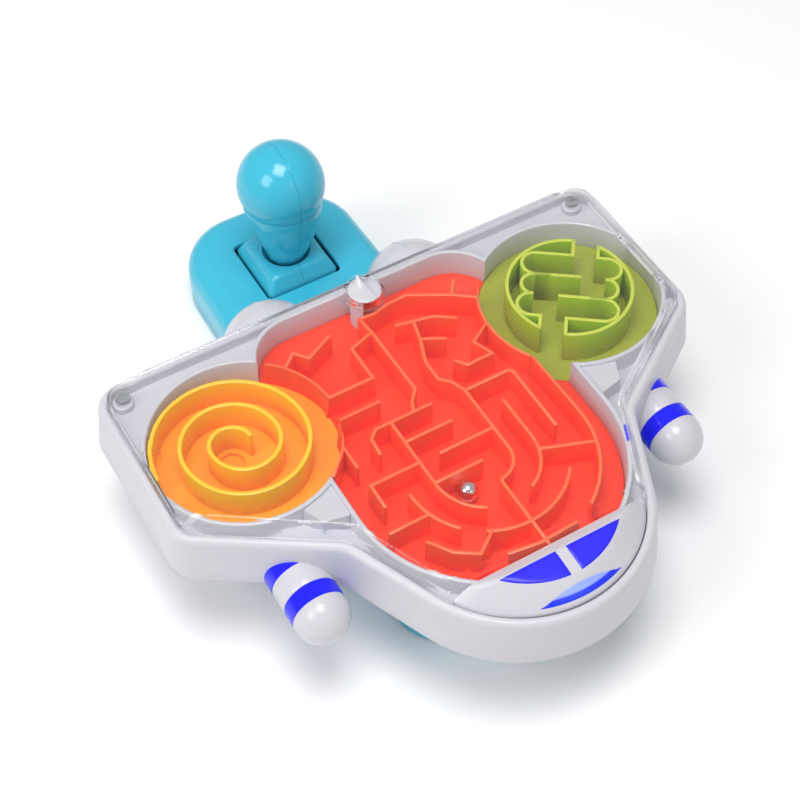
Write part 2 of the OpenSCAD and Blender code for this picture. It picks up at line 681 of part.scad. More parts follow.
module port_plug() color(white) in_tray() translate([0, port_y, 0]) {
    rotate_extrude() polygon([[0, 1.6], [4.6, 1.6], [5.4, 3], [6.5, cover_top - 0.1], [6.5, cover_top + 0.3],
        [6.2, cover_top + 0.5], [0, cover_top + 0.5]]);
    hull() {
        translate([0, 0.7, cover_top + 0.4]) cylinder(r = 5, h = 0.2, $fn = 32);
        translate([0, 4.2, cover_top + 2.2]) cylinder(r1 = 1.4, r2 = 1.2, h = 0.2, $fn = 32);
    }
    translate([0, 4.7, cover_top + 2.3]) cylinder(r1 = 0.9, r2 = 0.3, h = 1.2);
}

// ------------------------------------------------------------- cockpit

module cockpit_plan(d) {
    intersection() {
        polygon(outline(rim_corners, d));
        translate([-60, nose_cut - 60]) square([120, 60 - gap]);
    }
}

module cockpit() color(white) in_tray() difference() {
    union() {
        slab(-deck_drop, -rim_drop - 0.3) difference() {
            cockpit_plan(-0.3);
            translate([-60, nose_cut - wall - gap]) square([120, 20]);
        }
        canopy();
    }
    for (s = [-1, 1]) slab(1, 8) window_plan(s, 0);
    slab(-3.6, 6) visor_plan(0);
}

// The canopy's skin, from the straight back edge over the windows to the nose.
module canopy() {
    hull() {
        slab(-rim_drop - 0.4, -rim_drop) cockpit_plan(-0.5);
        translate([-27, nose_cut - 0.5, 0]) cube([54, 0.3, 0.7]);
        translate([-25, nose_cut - 5.4, 3.9]) cube([50, 0.3, 0.4]);
        slab(3.2, 3.5) intersection() {
            translate([0, -74]) circle(34.6, $fn = 64);
            translate([-25.5, -120]) square([51, 21]);
        }
    }
}

module window_plan(s, g) {
    intersection() {
        translate([s < 0 ? -25.4 + g : 2.1 + g, -110]) square([23.3 - 2 * g, 12 - g]);
        translate([0, -74]) circle(34.2 - g, $fn = 96);
    }
}
module visor_plan(g) {
    intersection() {
        translate([0, -69.6]) circle(46 - g, $fn = 96);
        translate([-30, -130 - g]) square([60, 18.6]);
    }
}

module cockpit_windows() color(blue) in_tray() intersection() {
    canopy();
    for (s = [-1, 1]) slab(1.1, 8) window_plan(s, 0.1);
}
module cockpit_visor() color(blue) in_tray() intersection() {
    canopy();
    slab(-3.35, 6) visor_plan(0.1);
}

// ------------------------------------------------------ cannons, bells

cannon_nose = -66;         // Y of the centre of a cannon's round end
cannon_tail = -38.5;         // Y of its back end, inside the tray
bands = [[-49.2, -42.7], [-64.5, -58]];
band_sink = 0.4;

module cannon(side) in_tray() translate([side * cannon_x, 0, cannon_axis_z]) difference() {
    union() {
        translate([0, cannon_tail, 0]) rotate([90, 0, 0]) cylinder(r = cannon_r, h = cannon_tail - cannon_nose);
        translate([0, cannon_nose, 0]) sphere(r = cannon_r);
    }
    for (b = bands) band_ring(b, cannon_r + 1, cannon_r - band_sink);
    translate([0, cannon_tail + 1, 0]) rotate([90, 0, 0]) cylinder(r = cannon_r - wall, h = 30);
}
module band_ring(b, outer, inner) {
    translate([0, b[1], 0]) rotate([90, 0, 0]) difference() {
        cylinder(r = outer, h = b[1] - b[0]);
        translate([0, 0, -1]) cylinder(r = inner, h = b[1] - b[0] + 2);
    }
}
module cannon_bands(side) in_tray() translate([side * cannon_x, 0, cannon_axis_z])
    for (b = bands) band_ring(b, cannon_r, cannon_r - band_sink);

module left_cannon() color(white) cannon(-1);
module right_cannon() color(white) cannon(1);
module left_cannon_bands() color(blue) cannon_bands(-1);
module right_cannon_bands() color(blue) cannon_bands(1);

bell_z = -28.8;            // height of an engine bell's axis below the pocket walls
bell_y = 53.3;
skirt_slope = atan((skirt_out - rim_wall) / (hull_depth - 1.2 - rim_drop - 2.4));
module engine_bell(side) in_tray() difference() {
    translate([side * bell_x, bell_y, bell_z]) sphere(r = bell_r, $fn = 96);
    translate([side * bell_x, bell_y, bell_z]) sphere(r = bell_r - wall, $fn = 96);
    translate([side * bell_x - 30, rim_back + skirt_out + gap, -hull_depth + 1.2])
        rotate([skirt_slope, 0, 0]) translate([0, -60, -40]) cube([60, 60, 80]);
    translate([side * bell_x - 30, 0, bell_z - 30]) cube([60, 120, 30 - hull_depth - bell_z]);
}
module left_engine_bell() color(white) engine_bell(-1);
module right_engine_bell() color(white) engine_bell(1);

base_shell();
base_plate();
feet();
base_screws();
bearing_blocks();
rocker_frame();
stick_pin();
tray_pin();
stick_left_half();
stick_right_half();
stick_screws();
stick_yoke();
rear_link_pin();
link_rod();
tray_hull();
hull_pan();
pan_screws();
tray_post();
post_screws();
front_link_pin();
red_maze();
yellow_spiral();
green_maze();
start_chute();
clear_cover();
cover_screws();
port_plug();
cockpit();
cockpit_windows();
cockpit_visor();
left_cannon();
right_cannon();
left_cannon_bands();
right_cannon_bands();
left_engine_bell();
right_engine_bell();
ball();
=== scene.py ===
"""Tilt maze game: the finished look of every piece, in the CAD model's own frame.

Shapes are laid out in millimetres. Pieces of the tray are measured from the top of its pocket
walls and the line through its two round pockets, and are put in place when they are finished.
"""

import math

import bmesh
import bpy
from mathutils import Matrix, Vector


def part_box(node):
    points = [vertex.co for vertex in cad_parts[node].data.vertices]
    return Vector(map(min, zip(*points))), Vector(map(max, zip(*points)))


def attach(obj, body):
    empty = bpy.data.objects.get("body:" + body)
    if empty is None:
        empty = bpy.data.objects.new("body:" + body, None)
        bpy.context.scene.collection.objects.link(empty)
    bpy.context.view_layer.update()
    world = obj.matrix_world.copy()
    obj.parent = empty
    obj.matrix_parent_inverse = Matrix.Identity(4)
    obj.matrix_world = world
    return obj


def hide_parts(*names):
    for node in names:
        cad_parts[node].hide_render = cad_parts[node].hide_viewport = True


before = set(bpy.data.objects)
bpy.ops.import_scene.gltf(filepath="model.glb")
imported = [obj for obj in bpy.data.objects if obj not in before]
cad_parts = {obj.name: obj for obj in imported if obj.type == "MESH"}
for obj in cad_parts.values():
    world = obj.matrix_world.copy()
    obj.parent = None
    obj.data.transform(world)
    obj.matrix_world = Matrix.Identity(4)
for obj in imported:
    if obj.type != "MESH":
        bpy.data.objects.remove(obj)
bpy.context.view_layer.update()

MM = 0.001
TRAY = Vector((0, -10, 66))          # origin of the tray's own measurements
TABLE = Vector((0, 0, 0))
STICK_Y = 94.5

# ---------------------------------------------------------------- colours


def linear(red, green, blue):
    """Turns a colour given in 0-255 display values into the shader's linear values."""
    out = []
    for value in (red, green, blue):
        c = value / 255
        out.append(c / 12.92 if c <= 0.04045 else ((c + 0.055) / 1.055) ** 2.4)
    return (*out, 1.0)


WHITE = linear(203, 202, 209)
WHITE_SHADE = linear(190, 189, 198)
TEAL = linear(62, 184, 212)
TEAL_DEEP = linear(40, 160, 188)
# maze insert colours: the floor colour carries painted shade between the walls, the edge colour is a painted highlight
# along the wall tops
RED = {"floor": linear(255, 66, 36), "wall": linear(255, 84, 36), "edge": linear(255, 112, 66)}
YELLOW = {"floor": linear(252, 166, 44), "wall": linear(255, 196, 24), "edge": linear(255, 202, 44)}
GREEN = {"floor": linear(168, 176, 58), "wall": linear(170, 202, 42), "edge": linear(200, 212, 76)}
BLUE = linear(16, 16, 238)
WINDOW_BLUE = linear(40, 32, 235)
# pale blue painted highlight for the visor's upper face; the deep blue is its own colour
VISOR_PAINTED_HIGHLIGHT = linear(150, 172, 255)
VISOR_DEEP = linear(28, 52, 240)

# -------------------------------------------------------------- materials


def socket(group, name, kind, way="INPUT", value=None):
    item = group.interface.new_socket(name=name, in_out=way, socket_type=kind)
    if value is not None:
        item.default_value = value
    return item


def make_moulded_group():
    """Moulded plastic: a faint cloudiness in the colour and the fine orange peel of a tool's finish."""
    group = bpy.data.node_groups.new("moulded_plastic", "ShaderNodeTree")
    socket(group, "Colour", "NodeSocketColor")
    socket(group, "Cloud", "NodeSocketFloat", value=0.06)
    socket(group, "Roughness", "NodeSocketFloat", value=0.3)
    socket(group, "Peel", "NodeSocketFloat", value=0.02)
    socket(group, "Colour", "NodeSocketColor", "OUTPUT")
    socket(group, "Roughness", "NodeSocketFloat", "OUTPUT")
    socket(group, "Normal", "NodeSocketVector", "OUTPUT")
    nodes, links = group.nodes, group.links
    inside = nodes.new("NodeGroupInput")
    outside = nodes.new("NodeGroupOutput")
    place = nodes.new("ShaderNodeTexCoord")
    cloud = nodes.new("ShaderNodeTexNoise")
    cloud.inputs["Scale"].default_value = 28
    cloud.inputs["Detail"].default_value = 3
    links.new(place.outputs["Object"], cloud.inputs["Vector"])
    spread = nodes.new("ShaderNodeMapRange")
    spread.inputs["From Min"].default_value = 0.3
    spread.inputs["From Max"].default_value = 0.7
    spread.inputs["To Min"].default_value = -1
    spread.inputs["To Max"].default_value = 1
    links.new(cloud.outputs["Fac"], spread.inputs["Value"])
    amount = nodes.new("ShaderNodeMath")
    amount.operation = "MULTIPLY"
    links.new(spread.outputs["Result"], amount.inputs[0])
    links.new(inside.outputs["Cloud"], amount.inputs[1])
    gain = nodes.new("ShaderNodeMath")
    gain.operation = "ADD"
    gain.inputs[1].default_value = 1
    links.new(amount.outputs[0], gain.inputs[0])
    tint = nodes.new("ShaderNodeVectorMath")
    tint.operation = "SCALE"
    links.new(inside.outputs["Colour"], tint.inputs[0])
    links.new(gain.outputs[0], tint.inputs["Scale"])
    links.new(tint.outputs["Vector"], outside.inputs["Colour"])
    patch = nodes.new("ShaderNodeTexNoise")
    patch.inputs["Scale"].default_value = 90
    patch.inputs["Detail"].default_value = 4
    links.new(place.outputs["Object"], patch.inputs["Vector"])
    wear = nodes.new("ShaderNodeMath")
    wear.operation = "MULTIPLY_ADD"
    wear.inputs[1].default_value = 0.12
    wear.inputs[2].default_value = -0.06
    links.new(patch.outputs["Fac"], wear.inputs[0])
    rough = nodes.new("ShaderNodeMath")
    rough.operation = "ADD"
    links.new(inside.outputs["Roughness"], rough.inputs[0])
    links.new(wear.outputs[0], rough.inputs[1])
    links.new(rough.outputs[0], outside.inputs["Roughness"])
    grain = nodes.new("ShaderNodeTexNoise")
    grain.inputs["Scale"].default_value = 900
    grain.inputs["Detail"].default_value = 2
    links.new(place.outputs["Object"], grain.inputs["Vector"])
    bump = nodes.new("ShaderNodeBump")
    bump.inputs["Distance"].default_value = 0.0002
    links.new(inside.outputs["Peel"], bump.inputs["Strength"])
    links.new(grain.outputs["Fac"], bump.inputs["Height"])
    links.new(bump.outputs["Normal"], outside.inputs["Normal"])
    return group


def make_painted_shade_group():
    """Painted shade and painted highlight on coloured plastic: deeper at the floor, paler along the tops of the walls.
    """
    group = bpy.data.node_groups.new("wall_painted_shade_and_highlight", "ShaderNodeTree")
    for name in ("Floor", "Wall", "Edge"):
        socket(group, name, "NodeSocketColor")
    socket(group, "Floor Height", "NodeSocketFloat", value=0.054)
    socket(group, "Top Height", "NodeSocketFloat", value=0.065)
    socket(group, "Colour", "NodeSocketColor", "OUTPUT")
    nodes, links = group.nodes, group.links
    inside = nodes.new("NodeGroupInput")
    outside = nodes.new("NodeGroupOutput")
    place = nodes.new("ShaderNodeTexCoord")
    split = nodes.new("ShaderNodeSeparateXYZ")
    links.new(place.outputs["Object"], split.inputs["Vector"])
    rise = nodes.new("ShaderNodeMapRange")
    rise.interpolation_type = "SMOOTHSTEP"
    links.new(split.outputs["Z"], rise.inputs["Value"])
    links.new(inside.outputs["Floor Height"], rise.inputs["From Min"])
    links.new(inside.outputs["Top Height"], rise.inputs["From Max"])
    # painted shade: the darker floor colour blends into the wall colour going up
    lower = nodes.new("ShaderNodeMix")
    lower.data_type = "RGBA"
    links.new(rise.outputs["Result"], lower.inputs["Factor"])
    links.new(inside.outputs["Floor"], lower.inputs["A"])
    links.new(inside.outputs["Wall"], lower.inputs["B"])
    # painted highlight: the last 0.6 mm below the wall tops turns to the paler edge colour
    below = nodes.new("ShaderNodeMath")
    below.operation = "SUBTRACT"
    below.inputs[1].default_value = 0.0006
    links.new(inside.outputs["Top Height"], below.inputs[0])
    crest = nodes.new("ShaderNodeMapRange")
    links.new(split.outputs["Z"], crest.inputs["Value"])
    links.new(below.outputs[0], crest.inputs["From Min"])
    links.new(inside.outputs["Top Height"], crest.inputs["From Max"])
    upper = nodes.new("ShaderNodeMix")
    upper.data_type = "RGBA"
    links.new(crest.outputs["Result"], upper.inputs["Factor"])
    links.new(lower.outputs["Result"], upper.inputs["A"])
    links.new(inside.outputs["Edge"], upper.inputs["B"])
    links.new(upper.outputs["Result"], outside.inputs["Colour"])
    return group


MOULDED = make_moulded_group()
PAINTED_SHADE_GROUP = make_painted_shade_group()


def new_material(name):
    made = bpy.data.materials.new(name)
    made.use_nodes = True
    return made, made.node_tree.nodes, made.node_tree.links, made.node_tree.nodes["Principled BSDF"]


def plastic(name, colour, roughness=0.28, coat=0.0, cloud=0.02, peel=0.05, depth=None, soft=0.0):
    """Moulded plastic. depth = (colours, floor height, top height) paints shade on a maze insert's floor and a
    highlight along its wall tops, by height.
    """
    made, nodes, links, shader = new_material(name)
    group = nodes.new("ShaderNodeGroup")
    group.node_tree = MOULDED
    group.inputs["Cloud"].default_value = cloud
    group.inputs["Roughness"].default_value = roughness
    group.inputs["Peel"].default_value = peel
    if depth:
        shades, floor, top = depth
        mix = nodes.new("ShaderNodeGroup")
        mix.node_tree = PAINTED_SHADE_GROUP
        mix.inputs["Floor"].default_value = shades["floor"]
        mix.inputs["Wall"].default_value = shades["wall"]
        mix.inputs["Edge"].default_value = shades["edge"]
        mix.inputs["Floor Height"].default_value = floor * MM
        mix.inputs["Top Height"].default_value = top * MM
        links.new(mix.outputs["Colour"], group.inputs["Colour"])
    else:
        group.inputs["Colour"].default_value = colour
    links.new(group.outputs["Colour"], shader.inputs["Base Color"])
    links.new(group.outputs["Roughness"], shader.inputs["Roughness"])
    links.new(group.outputs["Normal"], shader.inputs["Normal"])
    shader.inputs["IOR"].default_value = 1.5
    shader.inputs["Coat Weight"].default_value = coat
    shader.inputs["Coat Roughness"].default_value = 0.08
    if soft:
        shader.inputs["Subsurface Weight"].default_value = soft
        shader.inputs["Subsurface Radius"].default_value = (1.0, 0.5, 0.3)
        shader.inputs["Subsurface Scale"].default_value = 0.002
    return made


def visor_blue_painted_highlight():
    """The visor's glossy deep blue, with a painted highlight that makes it pale along its upper half; it stays deep
    along its lower edge.
    """
    made, nodes, links, shader = new_material("visor_blue_painted_highlight")
    place = nodes.new("ShaderNodeTexCoord")
    flat = nodes.new("ShaderNodeVectorMath")
    flat.operation = "MULTIPLY_ADD"
    flat.inputs[1].default_value = (1, 1, 0)
    flat.inputs[2].default_value = (0, 0.0796, 0)
    links.new(place.outputs["Object"], flat.inputs[0])
    away = nodes.new("ShaderNodeVectorMath")
    away.operation = "LENGTH"
    links.new(flat.outputs["Vector"], away.inputs[0])
    # painted highlight mask: pale inside a curve just above the lower edge, deep blue along that edge
    edge = nodes.new("ShaderNodeMapRange")
    edge.inputs["From Min"].default_value = 0.0438
    edge.inputs["From Max"].default_value = 0.0433
    links.new(away.outputs["Value"], edge.inputs["Value"])
    mix = nodes.new("ShaderNodeMix")
    mix.data_type = "RGBA"
    mix.inputs["A"].default_value = VISOR_DEEP
    mix.inputs["B"].default_value = VISOR_PAINTED_HIGHLIGHT
    links.new(edge.outputs["Result"], mix.inputs["Factor"])
    group = nodes.new("ShaderNodeGroup")
    group.node_tree = MOULDED
    group.inputs["Cloud"].default_value = 0.02
    group.inputs["Roughness"].default_value = 0.18
    links.new(mix.outputs["Result"], group.inputs["Colour"])
    links.new(group.outputs["Colour"], shader.inputs["Base Color"])
    links.new(group.outputs["Roughness"], shader.inputs["Roughness"])
    links.new(group.outputs["Normal"], shader.inputs["Normal"])
    return made


def clear_plastic():
    """Clear moulded plastic: thin, glossy, and open to the light that falls on the mazes under it."""
    made, nodes, links, shader = new_material("clear_plastic")
    shader.inputs["Base Color"].default_value = (0.97, 0.975, 0.98, 1)
    shader.inputs["Transmission Weight"].default_value = 1
    shader.inputs["IOR"].default_value = 1.12
    shader.inputs["Coat Weight"].default_value = 0.8
    shader.inputs["Coat Roughness"].default_value = 0.03
    place = nodes.new("ShaderNodeTexCoord")
    haze = nodes.new("ShaderNodeTexNoise")
    haze.inputs["Scale"].default_value = 60
    links.new(place.outputs["Object"], haze.inputs["Vector"])
    rough = nodes.new("ShaderNodeMapRange")
    rough.inputs["To Min"].default_value = 0.01
    rough.inputs["To Max"].default_value = 0.05
    links.new(haze.outputs["Fac"], rough.inputs["Value"])
    links.new(rough.outputs["Result"], shader.inputs["Roughness"])
    path = nodes.new("ShaderNodeLightPath")
    either = nodes.new("ShaderNodeMath")
    either.operation = "MAXIMUM"
    links.new(path.outputs["Is Shadow Ray"], either.inputs[0])
    links.new(path.outputs["Is Diffuse Ray"], either.inputs[1])
    through = nodes.new("ShaderNodeBsdfTransparent")
    through.inputs["Color"].default_value = (0.98, 0.98, 0.98, 1)
    blend = nodes.new("ShaderNodeMixShader")
    links.new(either.outputs[0], blend.inputs["Fac"])
    links.new(shader.outputs["BSDF"], blend.inputs[1])
    links.new(through.outputs["BSDF"], blend.inputs[2])
    links.new(blend.outputs["Shader"], nodes["Material Output"].inputs["Surface"])
    return made


def metal(name, colour, roughness, scratch):
    made, nodes, links, shader = new_material(name)
    shader.inputs["Metallic"].default_value = 1
    place = nodes.new("ShaderNodeTexCoord")
    marks = nodes.new("ShaderNodeTexNoise")
    marks.inputs["Scale"].default_value = 400
    marks.inputs["Detail"].default_value = 4
    links.new(place.outputs["Object"], marks.inputs["Vector"])
    rough = nodes.new("ShaderNodeMapRange")
    rough.inputs["To Min"].default_value = roughness
    rough.inputs["To Max"].default_value = roughness + scratch
    links.new(marks.outputs["Fac"], rough.inputs["Value"])
    links.new(rough.outputs["Result"], shader.inputs["Roughness"])
    shade = nodes.new("ShaderNodeMix")
    shade.data_type = "RGBA"
    shade.inputs["A"].default_value = colour
    shade.inputs["B"].default_value = tuple(0.88 * c for c in colour[:3]) + (1,)
    links.new(marks.outputs["Fac"], shade.inputs["Factor"])
    links.new(shade.outputs["Result"], shader.inputs["Base Color"])
    return made


hull_white = plastic("hull_white_plastic", WHITE, roughness=0.34, soft=0.1)
trim_white = plastic("trim_white_plastic", WHITE, roughness=0.22, soft=0.1)
pan_white = plastic("pan_white_plastic", WHITE_SHADE, roughness=0.5, peel=0.2)
teal = plastic("teal_plastic", TEAL, roughness=0.24, soft=0.06)
stick_teal = plastic("stick_teal_plastic", TEAL, roughness=0.14, soft=0.06)
plate_teal = plastic("plate_teal_plastic", TEAL_DEEP, roughness=0.5, peel=0.2)
# the maze inserts carry painted shade on their floors and a painted highlight along their wall tops
red = plastic("red_plastic", None, roughness=0.3, depth=(RED, 54, 65), soft=0.1)
yellow = plastic("yellow_plastic", None, roughness=0.28, depth=(YELLOW, 54, 66), soft=0.1)
green = plastic("green_plastic", None, roughness=0.28, depth=(GREEN, 54, 68.5), soft=0.1)
band_blue = plastic("band_blue_plastic", BLUE, roughness=0.2)
window_blue = plastic("window_blue_paint", WINDOW_BLUE, roughness=0.3)
visor_blue = visor_blue_painted_highlight()
clear = clear_plastic()
dark_acetal = plastic("dark_acetal", linear(58, 60, 66), roughness=0.5)
pale_acetal = plastic("pale_acetal", linear(205, 205, 208), roughness=0.45)
rubber = plastic("foot_rubber", linear(38, 38, 40), roughness=0.8, peel=0.4)
plated = metal("plated_steel", (0.60, 0.61, 0.63, 1), 0.22, 0.2)
polished = metal("polished_steel", (0.80, 0.81, 0.83, 1), 0.03, 0.05)

NODE_LOOKS = {
    "base_plate": plate_teal, "feet": rubber, "base_screws": plated, "bearing_blocks": dark_acetal,
    "rocker_frame": dark_acetal, "stick_pin": plated, "tray_pin": plated, "stick_screws": plated,
    "stick_yoke": pale_acetal, "rear_link_pin": plated, "link_rod": pale_acetal, "hull_pan": pan_white,
    "pan_screws": plated, "tray_post": pale_acetal, "post_screws": plated, "front_link_pin": plated,
    "cover_screws": plated,
}
for node_name, look in NODE_LOOKS.items():
    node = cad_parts[node_name]
    if not node.material_slots:
        node.data.materials.append(look)
    for place in node.material_slots:
        place.material = look

# ------------------------------------------------------------ shape tools


def arc(centre, radius, start, stop, steps):
    """Points along an arc, in degrees, both ends included."""
    return [
        (centre[0] + radius * math.cos(math.radians(start + (stop - start) * i / steps)),
         centre[1] + radius * math.sin(math.radians(start + (stop - start) * i / steps)))
        for i in range(steps + 1)
    ]


def rounded(corners, grow=0.0, steps=10, first_steps=None):
    """A polygon with rounded corners, moved outwards by grow. A negative radius marks an inside corner."""
    points = []
    count = len(corners)
    for i, (x, y, r) in enumerate(corners):
        v = Vector((x, y))
        a = (Vector(corners[i - 1][:2]) - v).normalized()
        b = (Vector(corners[(i + 1) % count][:2]) - v).normalized()
        half = a.angle(b) / 2
        centre = v + (a + b).normalized() * abs(r) / math.sin(half)
        radius = -r - grow if r < 0 else r + grow
        foot = v + a * a.dot(centre - v) - centre
        start = math.degrees(math.atan2(foot.y, foot.x))
        sweep = (180 - 2 * math.degrees(half)) * (-1 if r < 0 else 1)
        n = first_steps if first_steps and i == 0 else steps
        points += arc(centre, radius, start, start + sweep, n)
    return points


def ring(bm, points, z):
    """A closed loop of edges at height z, or at z(x, y) if z is a function."""
    verts = [bm.verts.new((x, y, z(x, y) if callable(z) else z)) for x, y in points]
    return [bm.edges.new((verts[i - 1], verts[i])) for i in range(len(verts))]


def skin(bm, rings):
    """Faces between each ring and the next."""
    for lower, upper in zip(rings, rings[1:]):
        bmesh.ops.bridge_loops(bm, edges=lower + upper)


def cap(bm, edges):
    """A flat face across one ring."""
    bmesh.ops.contextual_create(bm, geom=edges)


def plate_between(bm, *loops):
    """A flat face between an outer ring and the rings of its openings."""
    bmesh.ops.triangle_fill(bm, edges=[e for loop in loops for e in loop], use_beauty=True)


def lathe(bm, profile, centre, axis="Z", steps=72):
    """Turns a profile of (radius, distance along the axis) round the axis."""
    start = len(bm.verts)
    verts = []
    for radius, along in profile:
        place = {"X": (along, 0, radius), "Y": (radius, along, 0), "Z": (radius, 0, along)}[axis]
        verts.append(bm.verts.new(Vector(centre) + Vector(place)))
    edges = [bm.edges.new(pair) for pair in zip(verts, verts[1:])]
    direction = {"X": (1, 0, 0), "Y": (0, 1, 0), "Z": (0, 0, 1)}[axis]
    bmesh.ops.spin(bm, geom=verts + edges, cent=centre, axis=direction, angle=math.tau,
                   steps=steps, use_merge=True)
    bm.verts.ensure_lookup_table()
    bmesh.ops.remove_doubles(bm, verts=bm.verts[start:], dist=1e-4)


def left_of(v):
    return Vector((-v.y, v.x))


def wall_outline(path, width, past=0.4):
    """The outline of a wall that follows a path, with mitred corners."""
    points = [Vector(path[0])]
    for p in path[1:]:
        if (Vector(p) - points[-1]).length > 0.01:
            points.append(Vector(p))
    last = len(points) - 1
    sides = ([], [])
    for i, p in enumerate(points):
        a = (points[i] - points[i - 1] if i else points[1] - points[0]).normalized()
        b = (points[i + 1] - points[i] if i < last else points[last] - points[last - 1]).normalized()
        m = (left_of(a) + left_of(b)).normalized()
        shift = -a * past if i == 0 else a * past if i == last else Vector((0, 0))
        reach = m * (width / 2) / m.dot(left_of(a))
        sides[0].append(p + shift - reach)
        sides[1].append(p + shift + reach)
    return sides[0] + sides[1][::-1]


def standing_wall(bm, path, width, low, high, soften=0.28, past=0.4):
    """A moulded wall along a path, with its upper edge softened."""
    outline = wall_outline(path, width, past)
    base = ring(bm, [(p.x, p.y) for p in outline], low)
    face = bmesh.ops.contextual_create(bm, geom=base)["faces"][0]
    grown = bmesh.ops.extrude_face_region(bm, geom=[face])["geom"]
    top = [g for g in grown if isinstance(g, bmesh.types.BMVert)]
    bmesh.ops.translate(bm, verts=top, vec=(0, 0, high - low))
    crest = {e for v in top for e in v.link_edges if all(w in top for w in e.verts)}
    bmesh.ops.bevel(bm, geom=list(crest), offset=soften, segments=2, profile=0.5, affect="EDGES",
                    material=-1, clamp_overlap=True)


def piece(bm, name, look, body, replaces, origin=TRAY, sharp=38, flip_check=True):
    """Puts a finished shape into the scene, in metres, in its place."""
    bmesh.ops.remove_doubles(bm, verts=bm.verts, dist=1e-4)
    loose = [v for v in bm.verts if not v.link_faces]
    bmesh.ops.delete(bm, geom=loose, context="VERTS")
    bmesh.ops.dissolve_degenerate(bm, dist=1e-5, edges=bm.edges)
    big = [f for f in bm.faces if len(f.verts) > 4]
    bmesh.ops.triangulate(bm, faces=big)
    if flip_check:
        bmesh.ops.recalc_face_normals(bm, faces=bm.faces)
    bmesh.ops.translate(bm, verts=bm.verts, vec=origin)
    bmesh.ops.scale(bm, verts=bm.verts, vec=(MM, MM, MM))
    for face in bm.faces:
        face.smooth = True
    for edge in bm.edges:
        edge.smooth = len(edge.link_faces) != 2 or edge.calc_face_angle(0) < math.radians(sharp)
    mesh = bpy.data.meshes.new(name)
    bm.to_mesh(mesh)
    bm.free()
    made = bpy.data.objects.new(name, mesh)
    bpy.context.scene.collection.objects.link(made)
    mesh.materials.append(look)
    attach(made, body)
    if replaces:
        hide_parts(*replaces)
    return made


def shrunk(points, centre, k):
    return [(centre[0] + (x - centre[0]) * k, centre[1] + (y - centre[1]) * k) for x, y in points]


def mirrored(points):
    return [(-x, y) for x, y in points][::-1]


# -------------------------------------------------------------- tray shell

SLOPE = math.tan(math.radians(33.2))
RIM_X, RIM_BACK = 106.3, 45.5
SLOPE_END = -51 + SLOPE * (RIM_X - 63.9)


def both_sides(nose, half):
    return [nose, *half, *[(-x, y, r) for x, y, r in half[::-1]]]


RIM = both_sides((0, -185.1, 47), [(57.9, -54.9, -12), (RIM_X, SLOPE_END, 9), (RIM_X, RIM_BACK, 7.5)])
LID = both_sides((0, -178, 44), [(54.5, -55.5, -12), (100.8, SLOPE_END - 0.6, 9), (100.8, 43, 12)])
NOSE_CUT = -92.9
DECK = -8
FLOOR = -12


def rim_line(grow):
    return rounded(RIM, grow, 12, 60)


def meet(c0, r0, c1, r1, upper):
    """Where two circles cross; upper picks the crossing with the larger y."""
    d = math.dist(c0, c1)
    a = (r0 * r0 - r1 * r1 + d * d) / (2 * d)
    h = math.sqrt(r0 * r0 - a * a)
    ux, uy = (c1[0] - c0[0]) / d, (c1[1] - c0[1]) / d
    found = [(c0[0] + a * ux - s * h * uy, c0[1] + a * uy + s * h * ux) for s in (1, -1)]
    return max(found, key=lambda p: p[1]) if upper else min(found, key=lambda p: p[1])


def bearing(centre, p):
    return math.degrees(math.atan2(p[1] - centre[1], p[0] - centre[0]))


def well_line(grow, limit=None):
    """The outline of the three merged pockets, once round from the front."""
    pocket, back, big, small = (70, 0), (31.9, 23), 35.2 + grow, 19 + grow
    side = 50.9 + grow
    dip = -math.degrees(math.asin((-50 - NOSE_CUT + grow) / side))
    front_cusp = (side, -math.sqrt(big**2 - (70 - side) ** 2))
    back_cusp = meet(pocket, big, back, small, True)
    half = arc((0, -50), side, dip, 0, 26)
    half += [(side, -50 + (front_cusp[1] + 50) * i / 4) for i in range(1, 4)]
    half += arc(pocket, big, bearing(pocket, front_cusp), bearing(pocket, back_cusp), 72)
    half += arc(back, small, bearing(back, back_cusp), 90, 16)[1:]
    points = half + mirrored(half)
    if limit:
        points = [(max(-limit, min(limit, x)), y) for x, y in points]
    return points


def wall_cap_height(x, top):
    """The pocket walls are cut down where they run into the rim, under the cover's foot."""
    edge = RIM_X - 1.5 - abs(x)
    return top if edge > 0.6 else -5.1 if edge < 0 else -5.1 + (top + 5.1) * edge / 0.6


shell = bmesh.new()
skirt = [(4.3, -21.4), (4.3, -23.6), (4.6, -23.94), (5.2, -24), (5.7, -23.7), (5.95, -22.9), (5.3, -18),
         (4.6, -12.6), (4.0, -8), (3.75, -6), (3.6, -5), (3.35, -4.2), (2.8, -3.5), (2.0, -3.1),
         (1.2, -3.0), (0.6, -3.15), (0.15, -3.6), (0, -4.2), (0, DECK + 0.6), (-0.3, DECK + 0.1)]
rings = [ring(shell, rim_line(d), z) for d, z in skirt]
cap(shell, rings[0])
skin(shell, rings)
deck_edge = ring(shell, rim_line(-0.6), DECK)
skin(shell, [rings[-1], deck_edge])
LIMIT = RIM_X - 0.75
foot = ring(shell, well_line(2.2, LIMIT), DECK)
plate_between(shell, deck_edge, foot)
wall_section = [(1.85, DECK + 0.5), (1.8, -0.55), (1.6, -0.15), (1.25, 0), (0.55, -0.05), (0.2, -0.2), (0, -0.55)]
walls = [foot]
for grow, z in wall_section:
    walls.append(ring(shell, well_line(grow, LIMIT),
                      z if z < -5 else lambda x, y, z=z: wall_cap_height(x, z)))
walls.append(ring(shell, well_line(0, LIMIT), FLOOR - 2))
skin(shell, walls)
cap(shell, walls[-1])
